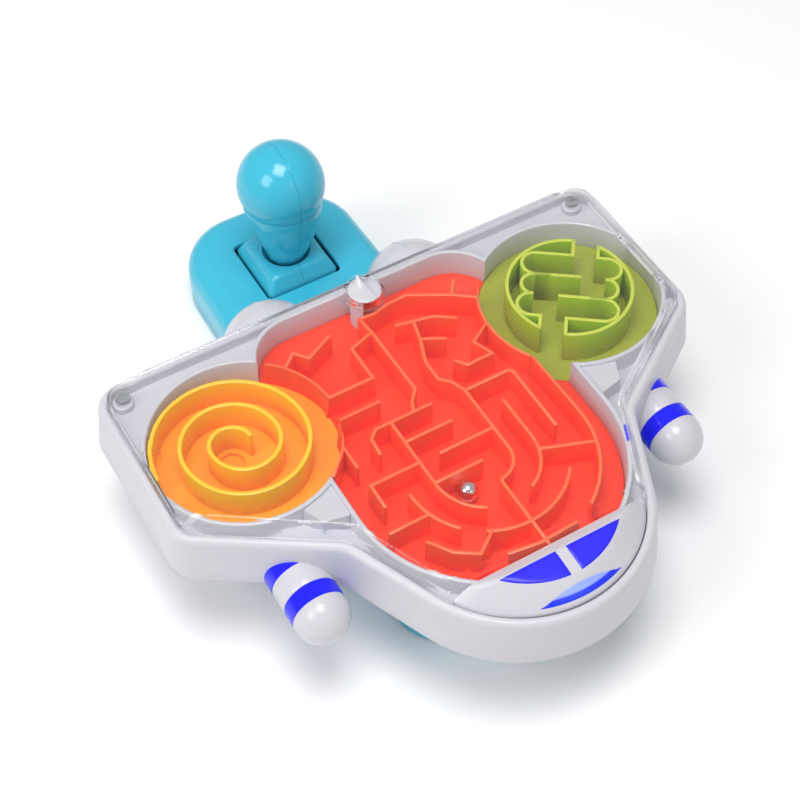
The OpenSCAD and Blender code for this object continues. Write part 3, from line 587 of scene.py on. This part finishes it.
for side in (-1, 1):
    # the corner posts that take the cover's screws
    lathe(shell, [(0, -5.2), (3.3, -5.2), (3.8, -5.6), (3.9, DECK), (0, DECK)], (side * 99.3, 41.3, 0))
SHELF = [(51.6, -31.5), (51.6, -45.8), (53.2, -47), (62.5, -45),
         (66, -37), (61, -35.6), (56, -33.4), (53.6, -31.6)]
for side in (-1, 1):
    # the raised corner between a round pocket and the middle one
    plan = SHELF if side > 0 else mirrored(SHELF)
    top = shrunk(plan, (side * 57, -40), 0.97)
    layers = [ring(shell, plan, DECK - 0.5), ring(shell, plan, -1.5), ring(shell, top, -1.2)]
    cap(shell, layers[0])
    skin(shell, layers)
    cap(shell, layers[-1])
piece(shell, "tray_shell", hull_white, "tray", ["tray_hull"])

# -------------------------------------------------------------- red maze

LANE = 10.3
WALL = 1.3


def lanes(*steps):
    """Points on the red maze's grid, counted in lanes from the middle of its round front."""
    return [(i * LANE, -50.3 + j * LANE) for i, j in steps]


def round_lane(r, start, stop):
    return arc((0, -50.3), r * LANE, start, stop, 18)


RED_WALLS = [
    lanes((-4.1, 7), (-3.5, 7.5), (-3.1, 7), (-1.95, 7.55)),
    lanes((-3.45, 5.05), (-1.55, 5.05), (-1.55, 6.6), (-0.6, 6.9)),
    lanes((-0.6, 7.7), (-0.53, 6.8), (-0.5, 3.85), (-0.9, 3.4), (-1.05, 3)),
    lanes((-0.35, 3), (-2.6, 3), (-2.95, 2.7), (-3, 2)),
    lanes((-2, 3), (-2, 0)) + round_lane(2, 180, 240),
    lanes((-2, 2), (-0.1, 2)),
    lanes((-1.15, 1), (1, 1)),
    lanes((-1.9, 4), (-3.55, 4), (-3.75, 3.7), (-3.8, 3.25), (-4.05, 2.8), (-4.35, 2.5), (-4.85, 2)),
    lanes((-3.97, 2.9), (-3.97, 1.9)),
    lanes((0.4, 6.75), (1.05, 6.6), (0.85, 5.8), (0.45, 4.7), (0.45, 3.8), (0.8, 3.45), (1, 2.9))
    + round_lane(1, 0, -84) + lanes((0.02, -1.1), (0.03, -4)),
    lanes((1.05, 6.6), (1.8, 6.45), (2.5, 5.95)),
    lanes((0.83, 5.75), (1.65, 5.3)),
    lanes((-0.6, 7.7), (0, 7.65), (0.6, 7.8), (1.45, 7.85), (2.95, 7), (3.75, 6.4)),
    lanes((2.95, 7), (3.4, 7.6)),
    lanes((3.75, 6.4), (4.05, 6.85)),
    lanes((3.4, 5.2), (2.45, 4.65), (2.75, 3.85), (1.7, 3.85), (1.4, 4.25)),
    lanes((1, 2.9), (2.85, 2.9), (2.95, 2.75), (2.95, 0)),
    lanes((1.95, 1.85)) + round_lane(1.95, 0, -65),
    lanes((3.93, 2.95)) + round_lane(4, 0, -57),
    lanes((-2, 1), (-3.95, 1), (-3.95, 0)),
    lanes((-2, 0), (-0.1, 0)),
    round_lane(2.98, 180, 222),
    lanes((-2.85, -1), (-4.35, -1)),
    lanes((1.9, -0.6), (3.75, -1.3)),
    round_lane(2.95, 322, 240),
    lanes((-1.3, -2.6), (-2.15, -3.2), (-2.9, -2.7), (-3.45, -1.9)),
    lanes((-1.35, -3.65), (-0.2, -3.82), (1.3, -3.75)),
    arc((-70, 0), 35.5, 3, 50, 12),
    arc((70, 0), 35.5, 154, 212, 14),
]


def insert_line():
    """The outline of the red insert's floor: the middle pocket, less the two round ones."""
    pocket, back = (70, 0), (31.9, 23)
    side, small, big = 50.7, 18.8, 35.1
    dip = -math.degrees(math.asin((-50 - NOSE_CUT - 0.2) / side))
    cusp = (side, -math.sqrt(big**2 - (70 - side) ** 2))
    behind = meet(pocket, big, back, small, True)
    half = arc((0, -50), side, dip, 0, 26)
    turn = bearing(pocket, cusp) % 360
    half += arc(pocket, big, turn, bearing(pocket, behind), 30)
    half += arc(back, small, bearing(back, behind), 90, 14)[1:]
    return half + mirrored(half)


maze = bmesh.new()
plan = insert_line()
layers = [ring(maze, plan, FLOOR - 1.95), ring(maze, plan, FLOOR)]
cap(maze, layers[0])
skin(maze, layers)
cap(maze, layers[1])
for path in RED_WALLS:
    standing_wall(maze, path, WALL, FLOOR - 0.5, -1)
for v in maze.verts:
    for side in (-1, 1):
        # nothing of this insert reaches into the round pockets
        away = Vector((v.co.x - side * 70, v.co.y))
        if v.co.z > FLOOR and away.length < 35.15:
            away.length = 35.15
            v.co.x, v.co.y = side * 70 + away.x, away.y
piece(maze, "red_maze_insert", red, "tray", ["red_maze"])

# --------------------------------------------------------- yellow spiral


def spiral_path(pitch=10.5, width=1.6):
    """Half turns about two centres half a pitch apart."""
    half = pitch / 2
    start = 35 - width / 2
    path = []
    for turn in range(5):
        upper = turn % 2 == 0
        centre = (-half if upper else 0, 0)
        begin, end = ((178 if turn == 0 else 180), (0 if turn < 4 else 4)) if upper else (0, -180)
        path += arc(centre, start - (turn + 1) * half, begin, end, 40 - 5 * turn)
    return [(x - 70, y) for x, y in path]


spiral = bmesh.new()
disc = arc((-70, 0), 34.95, 0, 360 * 119 / 120, 119)
hole = arc((-75.25, 1), 4.35, 0, 360 * 39 / 40, 39)
lip = arc((-75.25, 1), 4.75, 0, 360 * 39 / 40, 39)
under, over = ring(spiral, disc, FLOOR - 1.95), ring(spiral, disc, FLOOR)
skin(spiral, [under, over])
hole_rings = [ring(spiral, lip, FLOOR), ring(spiral, hole, FLOOR - 0.4), ring(spiral, hole, FLOOR - 1.8)]
plate_between(spiral, over, hole_rings[0])
skin(spiral, hole_rings)
cap(spiral, hole_rings[2])
cap(spiral, under)
standing_wall(spiral, spiral_path(), 1.6, FLOOR - 0.5, 0, soften=0.35)
for v in spiral.verts:
    v.co.z = min(v.co.z, -1.4 * (-102.4 - v.co.x) if v.co.x < -102.4 else v.co.z)
piece(spiral, "yellow_spiral_insert", yellow, "tray", ["yellow_spiral"])

# ---------------------------------------------------------- green maze

RING = 24.7 - WALL / 2
GREEN_WALLS = [
    arc((0, 0), RING, 245, 88.8, 48),
    [(0.5, 24), (0.5, 16.2)] + arc((-13.5, 10.7), 5.5, 90, 270, 20) + [(3.8, 5.2)],
    [(-8, 5.2)] + arc((-13.3, 0), 5.2, 90, 248, 18),
    [(-14, -4.9)] + arc((-14, -10.3), 5.5, 98, 270, 20) + [(-10.3, -15.8), (-10.3, -21.8)],
]


def turned(points, degrees, centre):
    c, s = math.cos(math.radians(degrees)), math.sin(math.radians(degrees))
    return [(centre[0] + x * c - y * s, centre[1] + x * s + y * c) for x, y in points]


comb = bmesh.new()
disc = arc((70, 0), 34.95, 0, 360 * 119 / 120, 119)
layers = [ring(comb, disc, FLOOR - 1.95), ring(comb, disc, FLOOR)]
cap(comb, layers[0])
skin(comb, layers)
cap(comb, layers[1])
for half_turn in (0, 180):
    for path in GREEN_WALLS:
        standing_wall(comb, turned(path, half_turn - 36.5, (70, 0)), WALL + 0.15, FLOOR - 0.5, 2.5)
piece(comb, "green_maze_insert", green, "tray", ["green_maze"])

# ------------------------------------------------------ chute and plug

PORT = (0, 36, 0)
chute = bmesh.new()
curve = arc(PORT[:2], 5.1, 95, 235, 24)
standing_wall(chute, curve, 1.4, FLOOR, 1, soften=0.3, past=0)
piece(chute, "start_chute_wall", hull_white, "tray", ["start_chute"])

plug = bmesh.new()


def plug_ring(radius, z, lean=0.0):
    """A section of the plug. Its centre leans back towards the tip, and its right side is stepped down."""
    points = arc((0, PORT[1] + lean), radius, 0, 360 * 47 / 48, 47)

    def height(x, y):
        turn = math.degrees(math.atan2(y - PORT[1] - lean, x))
        return z - 1.5 * (-62 < turn < 48) if z > 5 else z

    return ring(plug, points, height)


plug_sections = [(4.6, 1.6, 0), (5.3, 2.8, 0), (6.3, 4.4, 0), (6.5, 4.9, 0), (6.45, 5.3, 0), (6.2, 5.45, 0),
                 (5.0, 5.6, 0.7), (3.6, 5.9, 1.9), (2.4, 6.4, 3.0), (1.4, 7.2, 4.2), (0.7, 8.1, 5.1), (0.25, 8.5, 5.4)]
plug_rings = [plug_ring(*section) for section in plug_sections]
cap(plug, plug_rings[0])
skin(plug, plug_rings)
cap(plug, plug_rings[-1])
piece(plug, "ball_port_plug", trim_white, "plug", ["port_plug"])

# ----------------------------------------------------------- clear cover

FRONT = -92.6


def cover_ring(corners, grow, z, front):
    """One section of the cover. Its front end is cut straight and stands on the pocket's front wall."""
    points = [(x, max(y, front)) for x, y in rounded(corners, grow, 12, 60)]
    return ring(cover, points, lambda x, y: max(z, 0.3) if y < front + 0.01 else z)


cover = bmesh.new()
outer_rings = [cover_ring(*section) for section in
               [(RIM, -0.3, -4.7, FRONT), (RIM, -0.3, 0.6, FRONT + 0.1), (RIM, -0.55, 1.15, FRONT + 0.3),
                (RIM, -1.2, 1.7, FRONT + 0.6), (LID, 0.35, 4.45, FRONT + 2.4), (LID, -0.2, 4.85, FRONT + 2.9),
                (LID, -0.9, 5, FRONT + 3.6)]]
inner_rings = [cover_ring(*section) for section in
               [(RIM, -1.3, -4.6, FRONT + 1.1), (RIM, -1.3, 0.31, FRONT + 1.2), (LID, -1.2, 3.5, FRONT + 3.8)]]
skin(cover, outer_rings)
skin(cover, inner_rings)
skin(cover, [outer_rings[0], inner_rings[0]])


def port_ring(radius, z):
    return ring(cover, arc(PORT[:2], radius, 0, 360 * 63 / 64, 63), z)


collar = [port_ring(r, z) for r, z in [(7.95, 5), (7.95, 5.35), (7.7, 5.55), (7.1, 5.6), (6.85, 5.35),
                                       (6.85, 1.4), (7.95, 1.5), (7.95, 3.5)]]
skin(cover, collar)
plate_between(cover, outer_rings[-1], collar[0])
plate_between(cover, inner_rings[-1], collar[-1])
piece(cover, "clear_cover_moulding", clear, "tray", ["clear_cover"], sharp=28)

# --------------------------------------------------------------- cockpit


def soft_min(values, softness=0.35):
    low = min(values)
    return low - softness * math.log(sum(math.exp((low - v) / softness) for v in values))


def canopy_height(x, y):
    """The canopy: a slope behind the windows, a nearly flat top, and a dome that falls to the rim."""
    back = 0.7 + (NOSE_CUT - y) * 0.72
    top = 4.5 + (y + 98) * 0.09
    dome = 3.9 - (math.hypot(x, y + 74) - 34.2) * 0.84
    return soft_min([back, top, dome]) + 0.1


def cockpit_line(grow):
    points = [p for p in rim_line(grow) if p[1] < NOSE_CUT - 0.3]
    points.sort(key=lambda p: p[0])
    left, right = points[0], points[-1]
    straight = [(right[0] + (left[0] - right[0]) * i / 24, NOSE_CUT - 0.15) for i in range(25)]
    return points + straight


canopy = bmesh.new()
plan = cockpit_line(-0.35)
eye = (0, -101)
rings = [ring(canopy, shrunk(plan, eye, 0.995), -7), ring(canopy, plan, lambda x, y: canopy_height(x, y) - 0.8)]
for k in range(22):
    keep = 1 - k / 22 if k else 0.9985
    rings.append(ring(canopy, shrunk(plan, eye, keep), canopy_height))
cap(canopy, rings[0])
skin(canopy, rings)
cap(canopy, rings[-1])
piece(canopy, "cockpit_canopy", trim_white, "tray", ["cockpit"], sharp=50)


def on_canopy(bm, outline, centre, lift, steps=8):
    """A thin panel that follows the canopy, with a rounded edge."""
    rings = [ring(bm, outline, lambda x, y: canopy_height(x, y) - 0.5),
             ring(bm, outline, lambda x, y: canopy_height(x, y) + lift * 0.4),
             ring(bm, shrunk(outline, centre, 0.985), lambda x, y: canopy_height(x, y) + lift)]
    rings += [ring(bm, shrunk(outline, centre, 0.985 * (1 - k / steps)),
                   lambda x, y: canopy_height(x, y) + lift) for k in range(1, steps)]
    cap(bm, rings[0])
    skin(bm, rings)
    cap(bm, rings[-1])


def window_outline(side, inset=0.0):
    eye_y, radius = -74, 34.2 - inset
    inner, back = 2.1 + inset, -98 - inset
    far = math.sqrt(radius**2 - (back - eye_y) ** 2)
    near = -math.sqrt(radius**2 - inner**2)
    curve = arc((0, eye_y), radius, math.degrees(math.atan2(near, inner)),
                math.degrees(math.atan2(back - eye_y, far)), 20)
    points = curve + [(far + (inner - far) * i / 10, back) for i in range(1, 10)] + [(inner, back)]
    points += [(inner, back + (eye_y + near - back) * i / 5) for i in range(1, 5)]
    return points if side > 0 else mirrored(points)


windows = bmesh.new()
for side in (-1, 1):
    on_canopy(windows, window_outline(side), (side * 10, -101.5), 0.16)
piece(windows, "cockpit_window_panels", window_blue, "tray", ["cockpit_windows"], sharp=45)

visor = bmesh.new()
tip = 16.5
lower = arc((0, -69.6), 45.2, -90 - math.degrees(math.asin(tip / 45.2)),
            -90 + math.degrees(math.asin(tip / 45.2)), 32)
upper = [(tip - 2 * tip * i / 24, -112.0 + 1.0 * math.sin(math.pi * i / 24)) for i in range(1, 24)]
on_canopy(visor, lower + upper, (0, -112.8), 0.2, steps=6)
piece(visor, "cockpit_visor_panel", visor_blue, "tray", ["cockpit_visor"], sharp=45)

# ------------------------------------------------------ cannons and bells

CANNON_R = 10.5
DOME_Y = -66
BANDS = ((-49.2, -42.7), (-64.5, -58))


def cannon_profile():
    profile = [(0, -38.6), (CANNON_R - 0.3, -38.6)]
    for low, high in BANDS:
        profile += [(CANNON_R, high + 0.35), (CANNON_R - 0.12, high + 0.05), (CANNON_R - 0.4, high),
                    (CANNON_R - 0.4, low), (CANNON_R - 0.12, low - 0.05), (CANNON_R, low - 0.35)]
    profile += [(CANNON_R * math.cos(math.radians(a)), DOME_Y - CANNON_R * math.sin(math.radians(a)))
                for a in range(0, 91, 5)]
    return profile


for side, label in ((-1, "left"), (1, "right")):
    centre = (side * 75.6, 0, -21.8)
    barrel = bmesh.new()
    lathe(barrel, cannon_profile(), centre, "Y", 96)
    piece(barrel, f"{label}_cannon_barrel", trim_white, "tray", [f"{label}_cannon"])
    stripes = bmesh.new()
    for low, high in BANDS:
        lathe(stripes, [(CANNON_R - 1, high), (CANNON_R - 0.35, high), (CANNON_R - 0.02, high - 0.3),
                        (CANNON_R, high - 0.8), (CANNON_R, low + 0.8), (CANNON_R - 0.02, low + 0.3),
                        (CANNON_R - 0.35, low), (CANNON_R - 1, low), (CANNON_R - 1, high)], centre, "Y", 96)
    piece(stripes, f"{label}_cannon_stripes", band_blue, "tray", [f"{label}_cannon_bands"])

    bell = bmesh.new()
    heart = Vector((side * 32.5, 53.3, -28.8))
    bmesh.ops.create_uvsphere(bell, u_segments=96, v_segments=64, radius=20, matrix=Matrix.Translation(heart))
    cuts = ((Vector((0, 49.2, -8)), Vector((0, -1, -0.137))),
            (Vector((0, 0, -23.9)), Vector((0, 0, -1))))
    for place, direction in cuts:
        cut = bmesh.ops.bisect_plane(bell, geom=bell.verts[:] + bell.edges[:] + bell.faces[:], plane_co=place,
                                     plane_no=direction, clear_outer=True)
        rim = [g for g in cut["geom_cut"] if isinstance(g, bmesh.types.BMEdge)]
        bmesh.ops.contextual_create(bell, geom=rim)
    # the rib that runs front to back over the bell
    rib = [(20.22 * math.cos(math.radians(a)), 20.22 * math.sin(math.radians(a))) for a in range(14, 100, 3)]
    strip = [bell.verts.new(heart + Vector((-side * 0.6 - 0.32, y, z))) for y, z in rib]
    far = [bell.verts.new(heart + Vector((-side * 0.6 + 0.32, y, z))) for y, z in rib]
    low_near = [bell.verts.new(heart + Vector((-side * 0.6 - 0.5, y * 0.98, z * 0.98))) for y, z in rib]
    low_far = [bell.verts.new(heart + Vector((-side * 0.6 + 0.5, y * 0.98, z * 0.98))) for y, z in rib]
    chains = [[bell.edges.new(pair) for pair in zip(line, line[1:])] for line in (low_near, strip, far, low_far)]
    for one, two in zip(chains, chains[1:]):
        bmesh.ops.bridge_loops(bell, edges=one + two)
    piece(bell, f"{label}_bell_shell", trim_white, "tray", [f"{label}_engine_bell"])

# ------------------------------------------------------------------ base

BASE = [(42, -90, 22), (38, 132.5, 26), (-38, 132.5, 26), (-42, -90, 22)]
BASE_TOP = 25
BEVEL = 9
RECESS = [(17.2, 77.3, 2.4), (17.2, 111.7, 2.4), (-17.2, 111.7, 2.4), (-17.2, 77.3, 2.4)]
POST_HOLE = [(11.5, -55, 2), (11.5, -33, 2), (-11.5, -33, 2), (-11.5, -55, 2)]


def base_line(grow):
    return rounded(BASE, grow, 24)


base = bmesh.new()
side_profile = [(-2.2, 1.1), (-0.8, 1.0), (-0.25, 1.3), (0, 1.9), (0, BASE_TOP - BEVEL)]
side_profile += [(-BEVEL * (1 - math.cos(math.radians(a))), BASE_TOP - BEVEL * (1 - math.sin(math.radians(a))))
                 for a in range(10, 91, 8)]
outer = [ring(base, base_line(d), z) for d, z in side_profile]
inner = [ring(base, base_line(d), z) for d, z in
         [(-2.2, 12), (-2.6, 17.5), (-4.6, 21), (-8, 22.6), (-10.5, 22.8)]]
skin(base, outer)
skin(base, [outer[0], *inner])
openings_top, openings_under = [], []
for corners in (RECESS, POST_HOLE):
    lips = [ring(base, rounded(corners, d, 8), z) for d, z in
            [(0.7, BASE_TOP), (0.35, BASE_TOP - 0.12), (0.08, BASE_TOP - 0.5), (0, BASE_TOP - 1.1), (0, 22.8)]]
    skin(base, lips)
    openings_top.append(lips[0])
    openings_under.append(lips[-1])
plate_between(base, outer[-1], *openings_top)
plate_between(base, inner[-1], *openings_under)
for x, y in ((-26, 112), (26, 112), (-30, -70), (30, -70)):
    lathe(base, [(0, 3.3), (3.5, 3.3), (3.5, 23), (0, 23)], (x, y, 0), steps=32)
piece(base, "base_console", teal, "base", ["base_shell"], origin=TABLE)

# -------------------------------------------------------------- joystick

KNOB_Z = 69
KNOB_R = 18


def square_to_round(half, corner, blend, radius, count=128):
    """A rounded square that turns into a circle as blend goes from 0 to 1."""
    points = []
    flat = half - corner
    for i in range(count):
        a = math.tau * (i + 0.5) / count
        c, s = math.cos(a), math.sin(a)
        if abs(c) > abs(s):
            p = (half * math.copysign(1, c), half * math.tan(a) * math.copysign(1, c))
        else:
            p = (half / math.tan(a) * math.copysign(1, s), half * math.copysign(1, s))
        over = (max(abs(p[0]) - flat, 0), max(abs(p[1]) - flat, 0))
        if over[0] and over[1]:
            d = math.hypot(*over)
            p = (math.copysign(flat + over[0] * corner / d, p[0]), math.copysign(flat + over[1] * corner / d, p[1]))
        points.append((p[0] * (1 - blend) + radius * c * blend,
                       STICK_Y + p[1] * (1 - blend) + radius * s * blend))
    return points


def joystick_body():
    bm = bmesh.new()
    neck = [(0, 23.2), (2.6, 23.5), (5, 24.8), (6.9, 27), (8.3, 29.8), (9.8, 33), (11.3, 37), (12.8, 41.5),
            (14.1, 46.5), (15.2, 51.5), (16.0, 55.5), (16.4, 58.2), (16.35, 59.4)]
    knob = [(KNOB_R * math.cos(math.radians(a)), KNOB_Z + KNOB_R * math.sin(math.radians(a)))
            for a in range(-27, 91, 3)]
    lathe(bm, neck + knob, (0, STICK_Y, 0), "Z", 128)
    for v in bm.verts:
        # the flats moulded into the neck's left and right
        if v.co.z < 59.2:
            flat = 7.4 + (v.co.z - 26) * 0.215
            v.co.x = max(-flat, min(flat, v.co.x))
    foot = [square_to_round(16, 1.8, 0, 0), square_to_round(16, 1.8, 0, 0), square_to_round(15.7, 1.9, 0, 0),
            square_to_round(13.5, 2.3, 0, 0), square_to_round(12.9, 2.6, 0, 0), square_to_round(12.2, 3, 0, 0),
            square_to_round(11.4, 3.4, 0.15, 10.9), square_to_round(11, 3.6, 1, 10.3),
            square_to_round(11, 3.6, 1, 9.8), square_to_round(11, 3.6, 1, 8.6), square_to_round(11, 3.6, 1, 6.5)]
    heights = [21, 24.2, 24.9, 29.4, 30.3, 30.85, 31, 30.9, 30.3, 28.2, 26.6]
    rings = [ring(bm, line, z) for line, z in zip(foot, heights)]
    cap(bm, rings[0])
    skin(bm, rings)
    cap(bm, rings[-1])
    return bm


def carve(made, cutter):
    """Cuts the cutter's shape out of a finished piece."""
    mesh = bpy.data.meshes.new("cutter")
    cutter.to_mesh(mesh)
    cutter.free()
    tool = bpy.data.objects.new("cutter", mesh)
    bpy.context.scene.collection.objects.link(tool)
    change = made.modifiers.new("carve", "BOOLEAN")
    change.operation = "DIFFERENCE"
    change.solver = "EXACT"
    change.use_self = True
    change.object = tool
    done = bpy.data.meshes.new_from_object(made.evaluated_get(bpy.context.evaluated_depsgraph_get()))
    made.modifiers.remove(change)
    done.name = made.data.name
    made.data = done
    bpy.data.objects.remove(tool)


for side, label in ((-1, "left"), (1, "right")):
    half = joystick_body()
    bmesh.ops.recalc_face_normals(half, faces=half.faces)
    cut = bmesh.ops.bisect_plane(half, geom=half.verts[:] + half.edges[:] + half.faces[:],
                                 plane_co=(side * 0.06, 0, 0), plane_no=(side, 0, 0), clear_inner=True)
    seam = [g for g in cut["geom_cut"] if isinstance(g, bmesh.types.BMEdge)]
    bmesh.ops.edgenet_fill(half, edges=seam)
    edges = [e for e in half.edges if e.is_valid and len(e.link_faces) == 2
             and all(abs(v.co.x - side * 0.06) < 1e-3 for v in e.verts)]
    bmesh.ops.bevel(half, geom=edges, offset=0.16, segments=2, profile=0.5, affect="EDGES", material=-1,
                    clamp_overlap=True)
    made = piece(half, f"joystick_{label}", stick_teal, "stick", [f"stick_{label}_half"],
                 origin=TABLE, sharp=32)
    if side > 0:
        drill = bmesh.new()
        bmesh.ops.create_cone(drill, cap_ends=True, segments=40, radius1=2.5 * MM, radius2=2.5 * MM, depth=14 * MM,
                              matrix=Matrix.Translation(Vector((19, STICK_Y, KNOB_Z + 5)) * MM)
                              @ Matrix.Rotation(math.pi / 2, 4, "Y"))
        carve(made, drill)

# ------------------------------------------------------------------ ball

marble = bmesh.new()
low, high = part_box("ball")
middle = (Vector(low) + Vector(high)) / 2
bmesh.ops.create_icosphere(marble, subdivisions=5, radius=4.0, matrix=Matrix.Translation(middle / MM))
piece(marble, "steel_ball", polished, "ball", ["ball"], origin=TABLE)

# ------------------------------------------------- floor, light, camera


def soft_light(name, place, target, size, power, colour=(1, 1, 1)):
    data = bpy.data.lights.new(name, "AREA")
    data.shape = "RECTANGLE"
    data.size, data.size_y = size
    data.energy = power
    data.color = colour
    lamp = bpy.data.objects.new(name, data)
    lamp.location = place
    lamp.rotation_euler = (Vector(target) - Vector(place)).to_track_quat("-Z", "Y").to_euler()
    bpy.context.scene.collection.objects.link(lamp)


floor_mesh = bmesh.new()
bmesh.ops.create_grid(floor_mesh, x_segments=1, y_segments=1, size=3)
sheet = bpy.data.meshes.new("studio_floor")
floor_mesh.to_mesh(sheet)
floor_mesh.free()
floor = bpy.data.objects.new("studio_floor", sheet)
bpy.context.scene.collection.objects.link(floor)
paper, _, _, paper_shader = new_material("studio_paper")
paper_shader.inputs["Base Color"].default_value = (0.97, 0.97, 0.97, 1)
paper_shader.inputs["Roughness"].default_value = 0.9
paper_shader.inputs["Specular IOR Level"].default_value = 0.1
sheet.materials.append(paper)

world = bpy.data.worlds.new("studio")
bpy.context.scene.world = world
world.use_nodes = True
world.node_tree.nodes["Background"].inputs["Color"].default_value = (1.0, 1.0, 1.0, 1)
world.node_tree.nodes["Background"].inputs["Strength"].default_value = 0.46

soft_light("softbox_left", (-0.8, -0.1, 0.8), (0, 0, 0.05), (0.45, 0.5), 3.6)
soft_light("softbox_front", (0.25, -1.0, 0.8), (0, 0, 0.05), (0.5, 0.4), 0.5)
soft_light("softbox_top", (-0.12, -0.12, 1.3), (0, 0, 0.05), (0.6, 0.6), 9.4)

bpy.context.scene.view_settings.view_transform = "Standard"

camera_data = bpy.data.cameras.new("camera")
camera_data.lens = 73.80
camera_data.sensor_width = 36
camera = bpy.data.objects.new("camera", camera_data)
camera.location = (-0.197707, -0.338490, 0.539948)
aim = Vector((-0.012997, -0.023017, 0.066)) - camera.location
camera.rotation_euler = aim.to_track_quat("-Z", "Y").to_euler()
bpy.context.scene.collection.objects.link(camera)
bpy.context.scene.camera = camera
